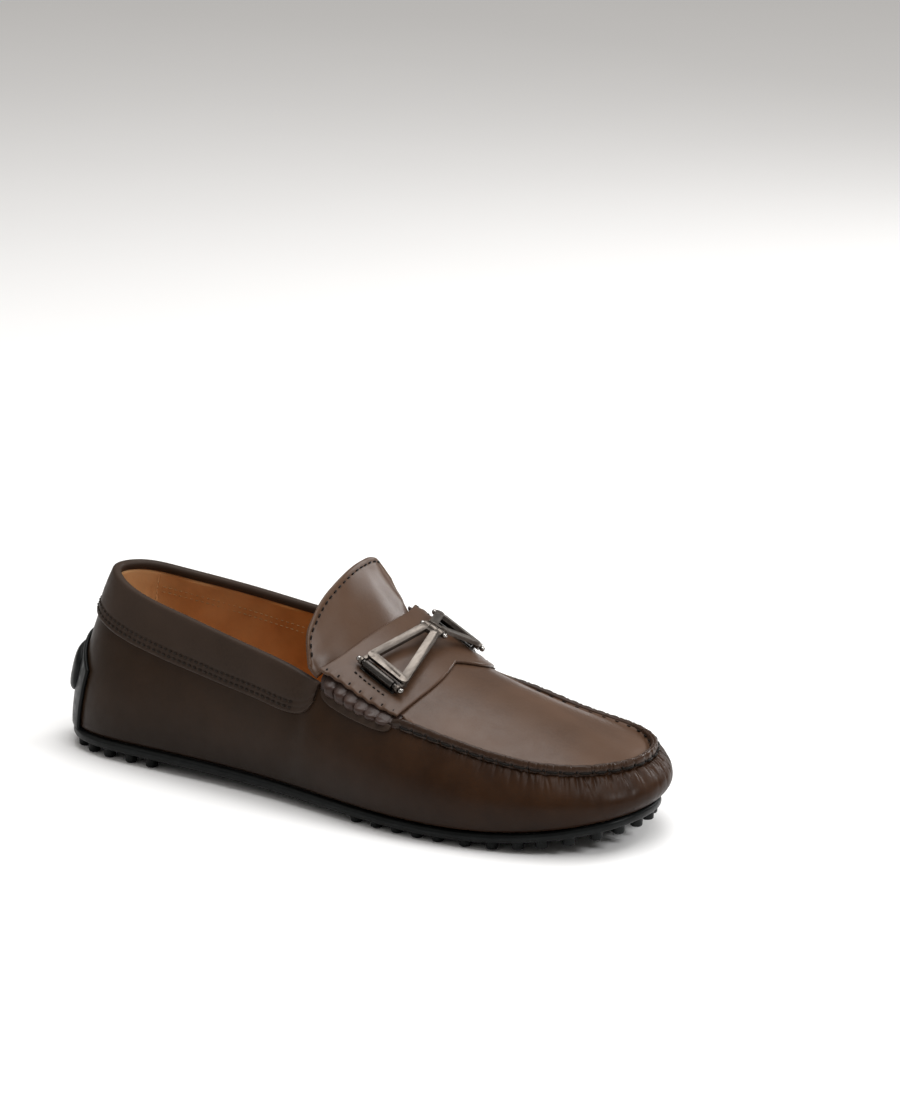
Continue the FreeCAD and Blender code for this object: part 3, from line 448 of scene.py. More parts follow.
# ---- materials
class Nodes:
    """Small helper to lay out one material's nodes."""

    def __init__(self, name):
        self.material = bpy.data.materials.new(name)
        self.material.use_nodes = True
        self.tree = self.material.node_tree
        self.shader = self.tree.nodes["Principled BSDF"]
        self.place = self.add("ShaderNodeTexCoord").outputs["Object"]

    def add(self, kind, inputs=(), **values):
        node = self.tree.nodes.new(kind)
        for key, value in values.items():
            setattr(node, key, value)
        for key, value in inputs:
            node.inputs[key].default_value = value
        return node

    def link(self, a, b):
        self.tree.links.new(a, b)

    def noise(self, scale, detail=3.0, rough=0.55, stretch=None):
        node = self.add("ShaderNodeTexNoise", [("Scale", scale), ("Detail", detail), ("Roughness", rough)])
        place = self.place
        if stretch:
            mapping = self.add("ShaderNodeMapping", [("Scale", stretch)])
            self.link(place, mapping.inputs["Vector"])
            place = mapping.outputs["Vector"]
        self.link(place, node.inputs["Vector"])
        return node.outputs["Fac"]

    def cells(self, scale):
        node = self.add("ShaderNodeTexVoronoi", [("Scale", scale)])
        self.link(self.place, node.inputs["Vector"])
        return node.outputs["Distance"]

    def remap(self, value, a, b, low=0.0, high=1.0):
        limits = [("From Min", a), ("From Max", b), ("To Min", low), ("To Max", high)]
        node = self.add("ShaderNodeMapRange", limits, interpolation_type="SMOOTHSTEP")
        self.link(value, node.inputs["Value"])
        return node.outputs["Result"]

    def math(self, operation, a, b):
        node = self.add("ShaderNodeMath", operation=operation)
        for socket, value in zip(node.inputs, (a, b)):
            if isinstance(value, (int, float)):
                socket.default_value = value
            else:
                self.link(value, socket)
        return node.outputs[0]

    def heights(self, *terms):
        """Sum of (value, weight) pairs."""
        total = None
        for value, weight in terms:
            value = self.math("MULTIPLY", value, weight)
            total = value if total is None else self.math("ADD", total, value)
        return total

    def mix(self, factor, a, b):
        node = self.add("ShaderNodeMix", data_type="RGBA")
        self.link(factor, node.inputs[0])
        for socket, value in ((node.inputs[6], a), (node.inputs[7], b)):
            if isinstance(value, tuple):
                socket.default_value = (*value, 1.0)
            else:
                self.link(value, socket)
        return node.outputs[2]

    def axis(self, which):
        node = self.add("ShaderNodeSeparateXYZ")
        self.link(self.place, node.inputs[0])
        return node.outputs[which]

    def bump(self, height, strength, distance):
        node = self.add("ShaderNodeBump", [("Strength", strength), ("Distance", distance)])
        self.link(height, node.inputs["Height"])
        self.link(node.outputs["Normal"], self.shader.inputs["Normal"])

    def shine(self, scale, detail, low, high):
        """Roughness that varies between two values."""
        self.link(self.remap(self.noise(scale, detail), 0.3, 0.7, low, high), self.shader.inputs["Roughness"])

    def colour(self, value):
        self.link(value, self.shader.inputs["Base Color"])

    def finish(self, height, strength, distance, ior=None):
        """Relief and, for what isn't metal, the index of refraction."""
        self.bump(height, strength, distance)
        if ior:
            self.shader.inputs["Specular IOR Level"].default_value = 0.5
            self.shader.inputs["IOR"].default_value = ior
        return self.material


def leather(name, light, dark, burnish=None, rough=(0.36, 0.52), grain=0.22, shine_index=1.24):
    """Finished calf: cloudy colour, fine pores, and a reddish burnish towards the toe where it is given."""
    n = Nodes(name)
    cloud = n.remap(n.noise(26.0, 2.0), 0.25, 0.78)
    colour = n.mix(cloud, dark, light)
    fleck = n.remap(n.noise(900.0, 2.0), 0.3, 0.75)
    deeper = n.mix(cloud, tuple(c * 0.82 for c in dark), tuple(c * 1.08 for c in light))
    colour = n.mix(fleck, colour, deeper)
    if burnish:
        front = n.remap(n.axis(0), 0.0, 0.1)
        toe = n.math("MULTIPLY", front, n.remap(n.noise(30.0), 0.25, 0.75, 0.65, 1.0))
        colour = n.mix(toe, colour, burnish)
    n.colour(colour)
    n.shine(160.0, 4.0, *rough)
    pores = n.cells(1500.0)
    fine = n.noise(2600.0, 2.0)
    crease = n.noise(420.0, 3.0, stretch=(1.0, 1.0, 0.55))
    return n.finish(n.heights((pores, 0.55), (fine, 0.35), (crease, 0.9)), grain, 0.00012, shine_index)


def wall_leather():
    """Side wall: dark at the quarter, burnished red-brown round the toe, darker towards the sole."""
    n = Nodes("wall_leather")
    cloud = n.remap(n.noise(34.0, 4.0), 0.3, 0.72)
    quarter = n.mix(cloud, (0.0225, 0.0120, 0.0062), (0.0300, 0.0158, 0.0084))
    toe = n.mix(cloud, (0.018, 0.0070, 0.0026), (0.037, 0.0155, 0.0062))
    colour = n.mix(n.remap(n.axis(0), -0.02, 0.085), quarter, toe)
    low = n.remap(n.axis(2), 0.009, 0.030, 0.62, 0.0)
    colour = n.mix(low, colour, (0.009, 0.0052, 0.0034))
    fleck = n.remap(n.noise(900.0, 2.0), 0.35, 0.8, 0.0, 0.25)
    colour = n.mix(fleck, colour, (0.018, 0.012, 0.009))
    n.colour(colour)
    n.shine(150.0, 4.0, 0.33, 0.47)
    fold = n.noise(300.0, 4.0, 0.6, stretch=(1.0, 1.0, 0.35))
    return n.finish(n.heights((n.cells(1500.0), 0.5), (fold, 1.3)), 0.24, 0.00012, 1.20)


def lining_material():
    n = Nodes("tan_lining")
    cloud = n.remap(n.noise(45.0, 4.0), 0.3, 0.7)
    # Painted light and shade: the heel end is painted lighter where the lining catches the light, and the
    # forepart darker and deeper in tone as painted shade inside the toe, over the tan's own cloudy tone.
    heel = n.mix(cloud, (0.56, 0.31, 0.135), (0.66, 0.39, 0.19))
    fore = n.mix(cloud, (0.34, 0.118, 0.022), (0.44, 0.165, 0.036))
    colour = n.mix(n.remap(n.axis(0), -0.125, -0.03), heel, fore)
    n.colour(colour)
    n.shine(200.0, 3.0, 0.5, 0.66)
    crease = n.noise(260.0, 3.0, stretch=(0.35, 1.0, 1.0))
    return n.finish(n.heights((n.cells(1300.0), 0.6), (crease, 1.2)), 0.25, 0.00015, 1.25)


def rubber_material():
    n = Nodes("black_rubber")
    colour = n.mix(n.remap(n.noise(120.0), 0.3, 0.7), (0.0035, 0.0040, 0.0040), (0.0065, 0.0075, 0.0075))
    n.colour(colour)
    n.shine(350.0, 4.0, 0.30, 0.44)
    return n.finish(n.noise(1800.0, 3.0), 0.18, 0.0001, 1.22)


def thread_material(name, dark, light):
    """Waxed thread: the strands' twist shows as a fine diagonal wave."""
    n = Nodes(name)
    size = [("Scale", 900.0), ("Distortion", 1.0)]
    wave = n.add("ShaderNodeTexWave", size, wave_type="BANDS", bands_direction="DIAGONAL")
    n.link(n.place, wave.inputs["Vector"])
    n.colour(n.mix(wave.outputs["Fac"], dark, light))
    n.shine(600.0, 3.0, 0.45, 0.62)
    return n.finish(wave.outputs["Fac"], 0.5, 0.0001, 1.2)


def metal_material(name, dark, light, rough, brush):
    """Satin metal with fine brush marks and slightly uneven polish."""
    n = Nodes(name)
    lines = n.noise(700.0, 3.0, stretch=brush)
    n.colour(n.mix(n.remap(lines, 0.3, 0.7), dark, light))
    n.shine(180.0, 3.0, *rough)
    n.shader.inputs["Metallic"].default_value = 1.0
    return n.finish(lines, 0.10, 0.00005)


def plain_material(name, dark, light, scale, rough):
    n = Nodes(name)
    n.colour(n.mix(n.remap(n.noise(scale), 0.3, 0.7), dark, light))
    n.shine(scale * 3, 3.0, rough - 0.06, rough + 0.06)
    return n.finish(n.cells(scale * 6), 0.3, 0.0002)


TOP_LEATHER = leather(
    "taupe_leather", (0.093, 0.050, 0.0290), (0.070, 0.037, 0.0215),
    rough=(0.30, 0.38), grain=0.16, shine_index=1.31)
BAND_LEATHER = leather("collar_leather", (0.040, 0.0245, 0.0165), (0.032, 0.0195, 0.0130), rough=(0.42, 0.54))
ROLL_LEATHER = leather(
    "gather_leather", (0.056, 0.033, 0.026), (0.036, 0.021, 0.0165), rough=(0.27, 0.35), shine_index=1.30)
RIDGE_LEATHER = leather(
    "ridge_leather", (0.031, 0.0185, 0.0120), (0.016, 0.0094, 0.0062), burnish=(0.038, 0.0180, 0.0095),
    rough=(0.26, 0.36), grain=0.3, shine_index=1.29)
WALL_LEATHER = wall_leather()
LINING = lining_material()
RUBBER = rubber_material()
DARK_THREAD = thread_material("dark_thread", (0.004, 0.003, 0.0025), (0.013, 0.010, 0.008))
BAND_THREAD = thread_material("band_thread", (0.010, 0.007, 0.005), (0.026, 0.018, 0.013))
TAN_THREAD = thread_material("tan_thread", (0.36, 0.20, 0.08), (0.52, 0.33, 0.16))
PLATE, GUNMETAL, PIN_METAL = (metal_material(*values) for values in (
    ("satin_plate", (0.122, 0.105, 0.092), (0.168, 0.148, 0.130), (0.34, 0.44), (1.0, 0.15, 1.0)),
    ("gunmetal", (0.040, 0.036, 0.033), (0.070, 0.064, 0.059), (0.25, 0.34), (0.2, 1.0, 1.0)),
    ("pin_steel", (0.30, 0.285, 0.27), (0.42, 0.40, 0.38), (0.18, 0.26), (1.0, 1.0, 1.0))))
BOARD = plain_material("fibre_board", (0.20, 0.15, 0.10), (0.28, 0.22, 0.15), 300.0, 0.8)
FOAM = plain_material("footbed_foam", (0.52, 0.46, 0.36), (0.62, 0.56, 0.46), 400.0, 0.85)
STIFFENER = plain_material("heel_stiffener", (0.55, 0.52, 0.45), (0.64, 0.61, 0.54), 200.0, 0.6)


# ---- where the hand stitches pull
SEAM_START = float(arc_of(s_at(190.5)))
SEAM_END = float(arc_of(s_at(190.5, False)))
STITCH_COUNT = int(round((SEAM_END - SEAM_START) / SEAM_STITCH_PITCH))
STITCH_STEP = (SEAM_END - SEAM_START) / STITCH_COUNT
STITCH_ARCS = SEAM_START + STITCH_STEP * (np.arange(STITCH_COUNT) + 0.5)
TOE_ARC = float(arc_of(1.0))


def toe_share(arc):
    """1 round the toe, falling off along the two sides."""
    return np.exp(-((arc - TOE_ARC) / 62.0) ** 4)


def folds(arc, drop, lines):
    """Depth of a family of thin folds; each is (arc, drift, depth, width, reach)."""
    total = np.zeros(np.broadcast(arc, drop).shape)
    for at, drift, depth, width, reach in lines:
        across = (arc - at - drift * drop) / (width * (1 + 0.06 * drop))
        total += depth * np.exp(-across * across) * bell(drop / reach)
    return total


def fold_lines():
    lines = []
    for at in STITCH_ARCS:
        toe = float(toe_share(at))
        lines.append((at - 0.5 * STITCH_STEP, rng.normal(0, 0.06), 0.14 + 0.42 * toe, 0.70, 4.0 + 4.5 * toe))
        for _ in range(5):
            lines.append((
                at + rng.uniform(-0.5, 0.5) * STITCH_STEP, rng.normal(0, 0.12),
                rng.uniform(0.05, 0.13) + 0.32 * toe * rng.uniform(0.2, 1.0),
                rng.uniform(0.30, 0.50), rng.uniform(2.5, 5.0) + 4.5 * toe * rng.uniform(0.1, 1.0)))
    return lines


FOLDS = fold_lines()


def wall_relief(arc, drop):
    """Leather of the wall gathered by the seam, and its slight unevenness lower down."""
    front = smooth((arc - SEAM_START + 6) / 10) * smooth((SEAM_END + 6 - arc) / 10)
    phase = (arc - SEAM_START) / STITCH_STEP
    puff = np.abs(np.sin(np.pi * phase)) ** 0.7
    swell = (0.06 + 0.20 * toe_share(arc)) * puff * bell((drop - 2.2) / 3.2)
    wave = 0.07 * np.sin(arc / 11.0 + 0.2 * drop) + 0.04 * np.sin(arc / 6.3 - 0.31 * drop + 1.0)
    calm = bell(drop / 26.0)
    return front * (swell - folds(arc, drop, FOLDS)) + wave * calm * (0.4 + 0.6 * front)


# ---- side wall and collar
def build_wall():
    quarter = np.linspace(0, SEAM_START - 8, 110)
    fore = np.linspace(SEAM_START - 7.5, SEAM_END + 7.5, 860)
    arcs = np.concatenate([quarter, fore, np.linspace(SEAM_END + 8, ARC_TOTAL - 1.8, 110)])
    s = s_of(arcs)
    v = np.concatenate([np.linspace(0, 0.62, 22), np.linspace(0.635, 1.0, 44)])
    point, normal = wall(s[:, None], v[None, :])
    walk = np.linalg.norm(np.diff(point, axis=1), axis=-1)
    drop = np.concatenate([np.cumsum(walk[:, ::-1], 1)[:, ::-1], np.zeros((len(s), 1))], 1)
    relief = wall_relief(arcs[:, None], drop)
    skin = sheet_mesh(point, WALL_T, normal, wrap=True, relief=relief)
    piece("side_wall", skin, WALL_LEATHER, replaced=["upper_wall"])


def collar_drop(s):
    """Height of the collar band, rounded off at its two front ends."""
    from_heel = np.minimum(np.mod(s, 2.0), 2.0 - np.mod(s, 2.0))
    start = S_THROAT - 0.05
    plain = COLLAR_BAND - 2.5 * np.maximum(0.0, from_heel - 0.3) / 0.2
    t = np.clip((from_heel - start) / (S_THROAT - start), 0, 1)
    full = COLLAR_BAND - 2.5 * (start - 0.3) / 0.2
    return np.where(from_heel <= start, plain, full - (full - 6.0) * (1 - np.sqrt(1 - t * t)))


def collar_s(count, reach=S_THROAT):
    t = np.linspace(-1, 1, count)
    return reach * (0.75 * t + 0.25 * t ** 3)


def build_collar():
    s = collar_s(361)
    depth = -GAP - COLLAR_T
    inside = 3.0
    drop = collar_drop(s)
    share = steps(26, 19.0, 0.6)[:-4]
    low = v_at(s, drop)
    v = low[:, None] + (1 - low[:, None]) * share[None, :]
    point, normal = wall(s[:, None], v, depth)
    rise = (1 - share[None, :]) * drop[:, None]
    from_low = drop[:, None] - rise
    groove = np.zeros_like(rise)
    for row in COLLAR_ROWS:
        groove += 0.24 * bell((from_low - row) / 0.62)
    puff = 0.18 * np.sin(np.pi * np.clip((from_low - 5.5) / (drop[:, None] - 5.5), 0, 1))
    arc = np.where(s < 0, arc_of(s) - ARC_TOTAL, arc_of(s))[:, None]
    wave = 0.10 * np.sin(arc / 7.0 + from_low * 0.25) + 0.07 * np.sin(arc / 3.7 + 2.0)
    edge = np.clip(from_low / 0.6, 0, 1)
    bow = np.sqrt(1 - (1 - edge) ** 2)
    outer = point + normal * ((puff - groove + wave * 0.5) * bow - 1.0 * (1 - bow))[..., None]
    top = wall(s, 1.0, depth)[0]
    lip = wall(s, 1.0, inside)[0]
    poles = rib(s)[0]
    up = unit(poles[3] - poles[2])
    centre = 0.5 * (top + lip)
    roll = []
    for angle in np.linspace(0.0, np.pi, 15)[1:-1]:
        lift = 2.0 * np.sin(angle) ** 0.9
        roll.append(centre + (top - centre) * (np.cos(angle) * (1.0 if angle < 1.57 else 0.9)) + up * lift)
    lips = [centre + (lip - centre) * 0.95 - up * below for below in (0.3, 0.8, 1.2)]
    tuck = [centre + (lip - centre) * 0.6 - up * 1.5, centre + (lip - centre) * 0.2 - up * 1.6]
    under = [wall(s, v_at(s, 3.0), -GAP)[0]]
    foot = wall(s, low, -GAP)[0]
    sections = np.concatenate([outer, np.stack(roll + lips + tuck + under + [foot], 1)], 1)
    piece("collar", tube_mesh(sections), BAND_LEATHER, replaced=["collar_band"])


def build_collar_threads():
    runs = []
    for rise in COLLAR_ROWS:
        total = float(arc_of(s_at(141.0))) - 3.0
        places = np.arange(-total, total, 2.9)
        for at in places:
            arcs = np.array([at, at + 2.15])
            s = np.where(arcs < 0, s_of(arcs + ARC_TOTAL) - 2.0, s_of(np.abs(arcs)))
            if np.abs(s).max() > S_THROAT - 0.012:
                continue
            drop = collar_drop(s) - rise
            if drop.min() < 3.0:
                continue
            runs.append(wall_run(s, drop, -GAP - COLLAR_T + 0.10))
    skin = thread_mesh(runs, 0.36, 0.30)
    piece("collar_threads", skin, BAND_THREAD, replaced=["collar_stitches"])


# ---- inside of the shoe
def lining_sheet(name, s0, s1, v0, v1, depth, node, columns):
    s = np.linspace(s0, s1, columns)
    v = np.linspace(v0, v1, 40)
    near = WALL_T + GAP + 0.05
    eased = near + (depth - near) * (1 - smooth((v - 0.64) / 0.2)) + LINING_T
    point, normal = wall(s[:, None], v[None, :], eased)
    arc = arc_of(s)[:, None]
    drop = (1 - v)[None, :] * 55.0
    dent = 0.16 * np.sin(arc / 6.1 + drop / 7.0) + 0.14 * np.sin(arc / 3.3 - drop / 4.3)
    skin = sheet_mesh(point[:, ::-1], LINING_T, -normal[:, ::-1], relief=dent[:, ::-1])
    piece(name, skin, LINING, replaced=[node])


def build_linings():
    near = WALL_T + GAP
    grip = WALL_T + COUNTER_T + 2 * GAP
    lining_sheet("grip_lining", -0.137, 0.137, 0.07, 0.985, grip, "heel_grip_lining", 90)
    lining_sheet("quarter_lining_a", 0.131, 0.497, 0.06, 0.985, near, "quarter_lining_lateral", 120)
    lining_sheet("quarter_lining_b", 1.503, 1.869, 0.06, 0.985, near, "quarter_lining_medial", 120)
    lining_sheet("toe_lining", 0.499, 1.501, 0.06, 0.86, near, "vamp_lining", 200)
    runs = []
    for row in (9.0, 11.6):
        for lateral in (True, False):
            reach = float(arc_of(s_at(138.0)))
            for at in np.arange(float(arc_of(0.145)), reach, 2.6):
                s = s_of(np.array([at, at + 1.7]))
                s = s if lateral else 2.0 - s
                runs.append(wall_run(s, row, near + LINING_T - 0.06, -1))
    piece("lining_threads", thread_mesh(runs, 0.22, 0.20), TAN_THREAD)
    runs = []
    for s_seam in (0.137, -0.137):
        for drop in np.arange(6.0, 44.0, 2.6):
            s = np.full(2, s_seam - 0.004 * np.sign(s_seam))
            runs.append(wall_run(s, np.array([drop, drop + 1.7]), grip + LINING_T - 0.05, -1))
    piece("grip_threads", thread_mesh(runs, 0.2, 0.2), TAN_THREAD)


def ring_sheet(inset, low, high, radius, wider=0.0):
    """Closed slab inside the feather line, with rounded rims, between two height curves."""
    s = np.linspace(0, 2, 401)[:-1]
    edge = FEATHER_RING.at(s)
    out = outward(FEATHER_RING, s)
    medial = (smooth((s - 1.25) / 0.15) * smooth((1.84 - s) / 0.08))[:, None]
    turn = np.linspace(0, np.pi / 2, 5)
    profile = [(9.0, 1, 0.0), (5.0, 1, 0.0)]
    profile += [(radius * (1 - math.sin(a)), 1, radius * (1 - math.cos(a))) for a in turn]
    profile += [(radius * (1 - math.cos(a)), 0, radius * (1 - math.sin(a))) for a in turn]
    profile += [(5.0, 0, 0.0), (9.0, 0, 0.0)]
    rows = []
    for away, top, less in profile:
        p = edge - out * (inset - wider * medial + away)
        p[:, 2] = high(p[:, 0]) - less if top else low(p[:, 0]) + less
        rows.append(p)
    sections = np.stack(rows, 1)
    count, around = sections.shape[:2]
    number = np.arange(count * around).reshape(count, around)
    faces = quads(number, wrap=True).tolist()
    points = [sections.reshape(-1, 3)]
    base = count * around
    for column, flip in ((0, True), (around - 1, False)):
        rim = sections[:, column]
        half = count // 2
        middle = 0.5 * (rim[:half + 1] + rim[(-np.arange(half + 1)) % count])
        middle[:, 2] = (high if flip else low)(middle[:, 0])
        points.append(middle[1:-1])
        spine = np.concatenate([[number[0, column]], base + np.arange(half - 1), [number[half, column]]])
        base += half - 1
        for i in range(half):
            for a, b, reverse in (
                    (number[i, column], number[i + 1, column], False),
                    (number[(-i) % count, column], number[(-i - 1) % count, column], True)):
                face = [int(a), int(b), int(spine[i + 1]), int(spine[i])]
                face = [k for j, k in enumerate(face) if k != face[j - 1]]
                if len(face) > 2:
                    faces.append(face[::-1] if reverse != flip else face)
    return np.concatenate(points), faces


def build_footbed():
    def low(x):
        return sole_top(x) + 5.95

    def high(x):
        return sole_top(x) + 6.95 + 0.12 * np.sin(x / 7.0)

    piece("sock", ring_sheet(5.2, low, high, 0.45, 1.4), LINING, replaced=["sock_lining"])


# ---- rubber
def build_outsole():
    skin = ring_sheet(-0.2, sole_bottom, sole_top, 1.7)
    piece("sole_plate", skin, RUBBER, replaced=["outsole"])


def stud_centres(node):
    """Centres of the studs, found from their chamfered tips in the CAD node."""
    mesh = frame["nodes"][node].data
    co = np.zeros(len(mesh.vertices) * 3)
    mesh.vertices.foreach_get("co", co)
    co = co.reshape(-1, 3) / MM - SHIFT
    tips = co[co[:, 2] < sole_bottom(co[:, 0]) - 1.2, :2]
    centres = []
    while len(tips):
        middle = tips[0]
        for reach in (6.0, 3.2):
            near = np.linalg.norm(tips - middle, axis=1) < reach
            middle = 0.5 * (tips[near].min(0) + tips[near].max(0))
        centres.append(middle)
        tips = tips[~near]
    return centres


def build_studs(name, node):
    """Round-tipped studs that flare into the plate."""
    turn = 2 * np.pi * np.arange(20) / 20
    parts = []
    for x, y in stud_centres(node):
        under = float(sole_bottom(x))
        tip = max(0.0, under - STUD_PROUD) if x > 100 else 0.0
        slope = float(sole_bottom(x + 0.5) - sole_bottom(x - 0.5))
        profile = [(0.8, tip), (1.5, tip + 0.03), (2.1, tip + 0.22), (2.45, tip + 0.6), (2.55, tip + 1.1),
                   (2.6, under - 0.5), (2.75, under - 0.1), (3.15, under + 0.12), (3.2, under + 0.7)]
        rows = []
        for radius, z in profile:
            tilt = slope * np.clip((z - tip) / max(under - tip, 1e-6), 0, 1)
            rows.append(np.stack([
                x + radius * np.cos(turn), y + radius * np.sin(turn),
                z + tilt * radius * np.cos(turn)], -1))
        parts.append(tube_mesh(np.stack(rows)))
    piece(name, joined(parts), RUBBER, replaced=[node])


def build_heel_rubber():
    half = 0.145
    u = steps(66, 52.0, 0.8)
    s = -half + 2 * half * u
    top = 0.56 - 0.16 * np.abs(s / half) ** 2
    share = steps(34, 30.0, 0.8)
    v = top[:, None] * share[None, :]
    point, normal = wall(s[:, None], v, -GAP - 1.6)
    skin = sheet_mesh(point, 1.75, normal, radius=0.9)
    piece("heel_strip", skin, RUBBER, replaced=["heel_guard"])

    half = 0.105
    u = steps(48, 38.0, 1.2)
    share = steps(18, 16.0, 1.2)
    s = -half + 2 * half * u
    round_off = np.sqrt(np.clip(1 - (s / half) ** 4, 0, 1))
    reach = 0.15 * (0.25 + 0.75 * round_off)
    v = 0.33 - reach[:, None] + 2 * reach[:, None] * share[None, :]
    dome = np.clip(1 - (2 * u[:, None] - 1) ** 6, 0, 1) * np.clip(1 - (2 * share[None, :] - 1) ** 4, 0, 1)
    point, normal = wall(s[:, None], v, -GAP - 1.6 - 2.9 * np.sqrt(dome))
    skin = sheet_mesh(point, 1.0, normal, radius=0.6)
    piece("heel_pad", skin, RUBBER, replaced=["heel_bumper"])


# ---- apron and raised seam
def seam_frame(arc):
    s = s_of(arc)
    return TOP_RING.at(s), outward(TOP_RING, s)


def build_apron():
    s = s_at(157.0) + (1 - s_at(157.0)) * np.linspace(0, 1, 150) ** 0.9
    s = np.sort(np.concatenate([s, [0.9985, 1.0]]))
    left = TOP_RING.at(s)
    right = TOP_RING.at(2 - s)
    narrow = 2.4 * np.clip((197.0 - left[:, 0]) / 8.0, 0, 1)
    left = left - outward(TOP_RING, s) * (0.35 + narrow)[:, None]
    right = right - outward(TOP_RING, 2 - s) * (0.35 + narrow)[:, None]
    across = np.concatenate([
        np.linspace(0, 0.06, 7)[:-1], np.linspace(0.06, 0.94, 60), np.linspace(0.94, 1, 7)[1:]])
    plan = left[:, None] + (right - left)[:, None] * across[None, :, None]
    x, y = plan[..., 0], plan[..., 1]
    width = np.linalg.norm((right - left)[:, :2], axis=1)[:, None]
    edge = np.minimum(across, 1 - across)[None, :] * width
    ahead = np.abs(TOP_RING.at(1.0)[0] - 0.35 - x)
    edge = np.minimum(edge, 0.8 * ahead)
    lip = 1.5 * bell(edge / 0.9) * smooth((x - 190) / 5)
    swell = 0.5 * smooth((edge - 2) / 16) * smooth((x - 188) / 20)
    wave = 0.05 * np.sin(x / 9 + y / 14) + 0.04 * np.sin(y / 7 - x / 21 + 1)
    plan[..., 2] = crown(x, y) + lip + 0.35 * swell + wave - 0.2 * bell((edge - 3.0) / 2.0)
    piece("apron_top", sheet_mesh(plan, 1.4), TOP_LEATHER, replaced=["apron"])


RIDGE_SECTION = [
    (1.45, -1.3), (1.62, -0.5), (1.68, 0.15), (1.85, 0.8), (1.95, 1.5), (1.85, 2.3), (1.66, 3.0), (1.38, 3.6),
    (1.0, 3.95), (0.62, 3.98), (0.36, 3.72), (0.2, 3.45), (0.02, 3.72), (-0.28, 3.82), (-0.62, 3.6),
    (-0.88, 3.1), (-1.02, 2.4), (-1.1, 1.6), (-1.22, 0.8), (-1.5, 0.1), (-1.7, -0.9), (-0.2, -1.4),
]


def ridge_share(arcs):
    """The raised seam's height: whole on the lateral side and round the toe, half on the medial side."""
    return 1.0 - 0.5 * np.clip((s_of(arcs) - 1.04) / 0.16, 0, 1)


def build_ridge():
    """The wall's and the apron's edges stand up back to back, pinched at each stitch."""
    arcs = np.linspace(SEAM_START - 3.5, SEAM_END + 3.5, 1100)
    seat, out = seam_frame(arcs)
    toe = toe_share(arcs)
    phase = (arcs - SEAM_START) / STITCH_STEP
    pinch = bell((phase - np.round(phase)) * STITCH_STEP / 0.95)
    crimp = np.zeros_like(arcs)
    for _ in range(STITCH_COUNT * 6):
        at = rng.uniform(arcs[0], arcs[-1])
        crimp += rng.uniform(0.06, 0.24) * bell((arcs - at) / rng.uniform(0.26, 0.42))
    crimp *= 0.6 + 1.5 * toe
    lean = 0.06 * np.sin(arcs / 4.1) + 0.04 * np.sin(arcs / 1.7 + 1.3)
    rise = 1.0 + 0.015 * np.sin(arcs / 3.3) + 0.012 * np.sin(arcs / 1.13 + 0.7) - 0.03 * pinch
    rise = rise * ridge_share(arcs)
    taper = np.sqrt(np.clip(np.minimum(arcs - arcs[0], arcs[-1] - arcs) / 5.0, 0, 1))
    rows = []
    for o, z in RIDGE_SECTION:
        high = np.clip(z / 3.9, 0, 1)
        outside = 1.0 if o > 0.2 else 0.35
        push = np.full_like(arcs, o) + lean * high
        drawn = 0.42 * pinch * (1 - high) ** 0.7 + crimp * (0.35 + 0.65 * high)
        push -= outside * np.sign(o) * drawn * (z > -0.8)
        height = z * rise * (0.55 + 0.45 * taper if z > 0 else 1.0)
        rows.append(seat + out * push[:, None] + up_by(height))
    sections = np.stack(rows, 1)
    inner = sections[:, 14:20]
    floor = crown(inner[..., 0], inner[..., 1]) - 0.3
    sections[:, 14:20, 2] = np.maximum(inner[..., 2], np.minimum(floor, inner[..., 2] + 0.6))
    skin = tube_mesh(sections[:, ::-1])
    piece("raised_seam", skin, RIDGE_LEATHER, replaced=["seam_ridge"])


def seam_run(arcs, away, rise, up=0.0):
    """Thread run beside the raised seam, outside it or, where away is negative, inside."""
    seat, out = seam_frame(arcs)
    p = seat + out * away + up_by(rise)
    return p[0], p[1], np.sign(away) * unit(out.sum(0) + up_by(up))


def build_seam_threads():
    ends = np.array([-1.0, 1.0])
    between = STITCH_ARCS + 0.5 * STITCH_STEP
    outer = [seam_run(at + 0.40 * STITCH_STEP * ends, 1.80, 0.95, 0.25) for at in STITCH_ARCS]
    # Short upright dark thread runs between stitches: part thread, part painted shade standing for the dark
    # pits of the stitch holes.
    outer += [seam_run(np.full(2, at), 1.30, np.array([0.5, 1.9])) for at in between[:-1]]
    inner = []
    for at in between[between <= SEAM_END - 2]:
        arcs = at + 1.2 * ends
        inner.append(seam_run(arcs, -1.08, 1.5 * (0.2 + 0.8 * ridge_share(arcs))))
    skin = joined([thread_mesh(outer, 0.55, 0.50), thread_mesh(inner, 0.36, 0.35)])
    piece("seam_threads", skin, DARK_THREAD, replaced=["seam_stitches"])


# ---- strap, gathers and tabs
def strap_edge(x, lateral):
    s = s_at(x, lateral)
    return TOP_RING.at(s) + outward(TOP_RING, s) * (2.3 - 2.6 * (np.asarray(x) - 149.0) / 40.0)[..., None]


def scallop(x):
    """1 above each roll, 0 at the holes between rolls."""
    phase = (x - GATHER_FIRST_X) / GATHER_PITCH
    return 0.5 + 0.5 * np.cos(2 * np.pi * phase)


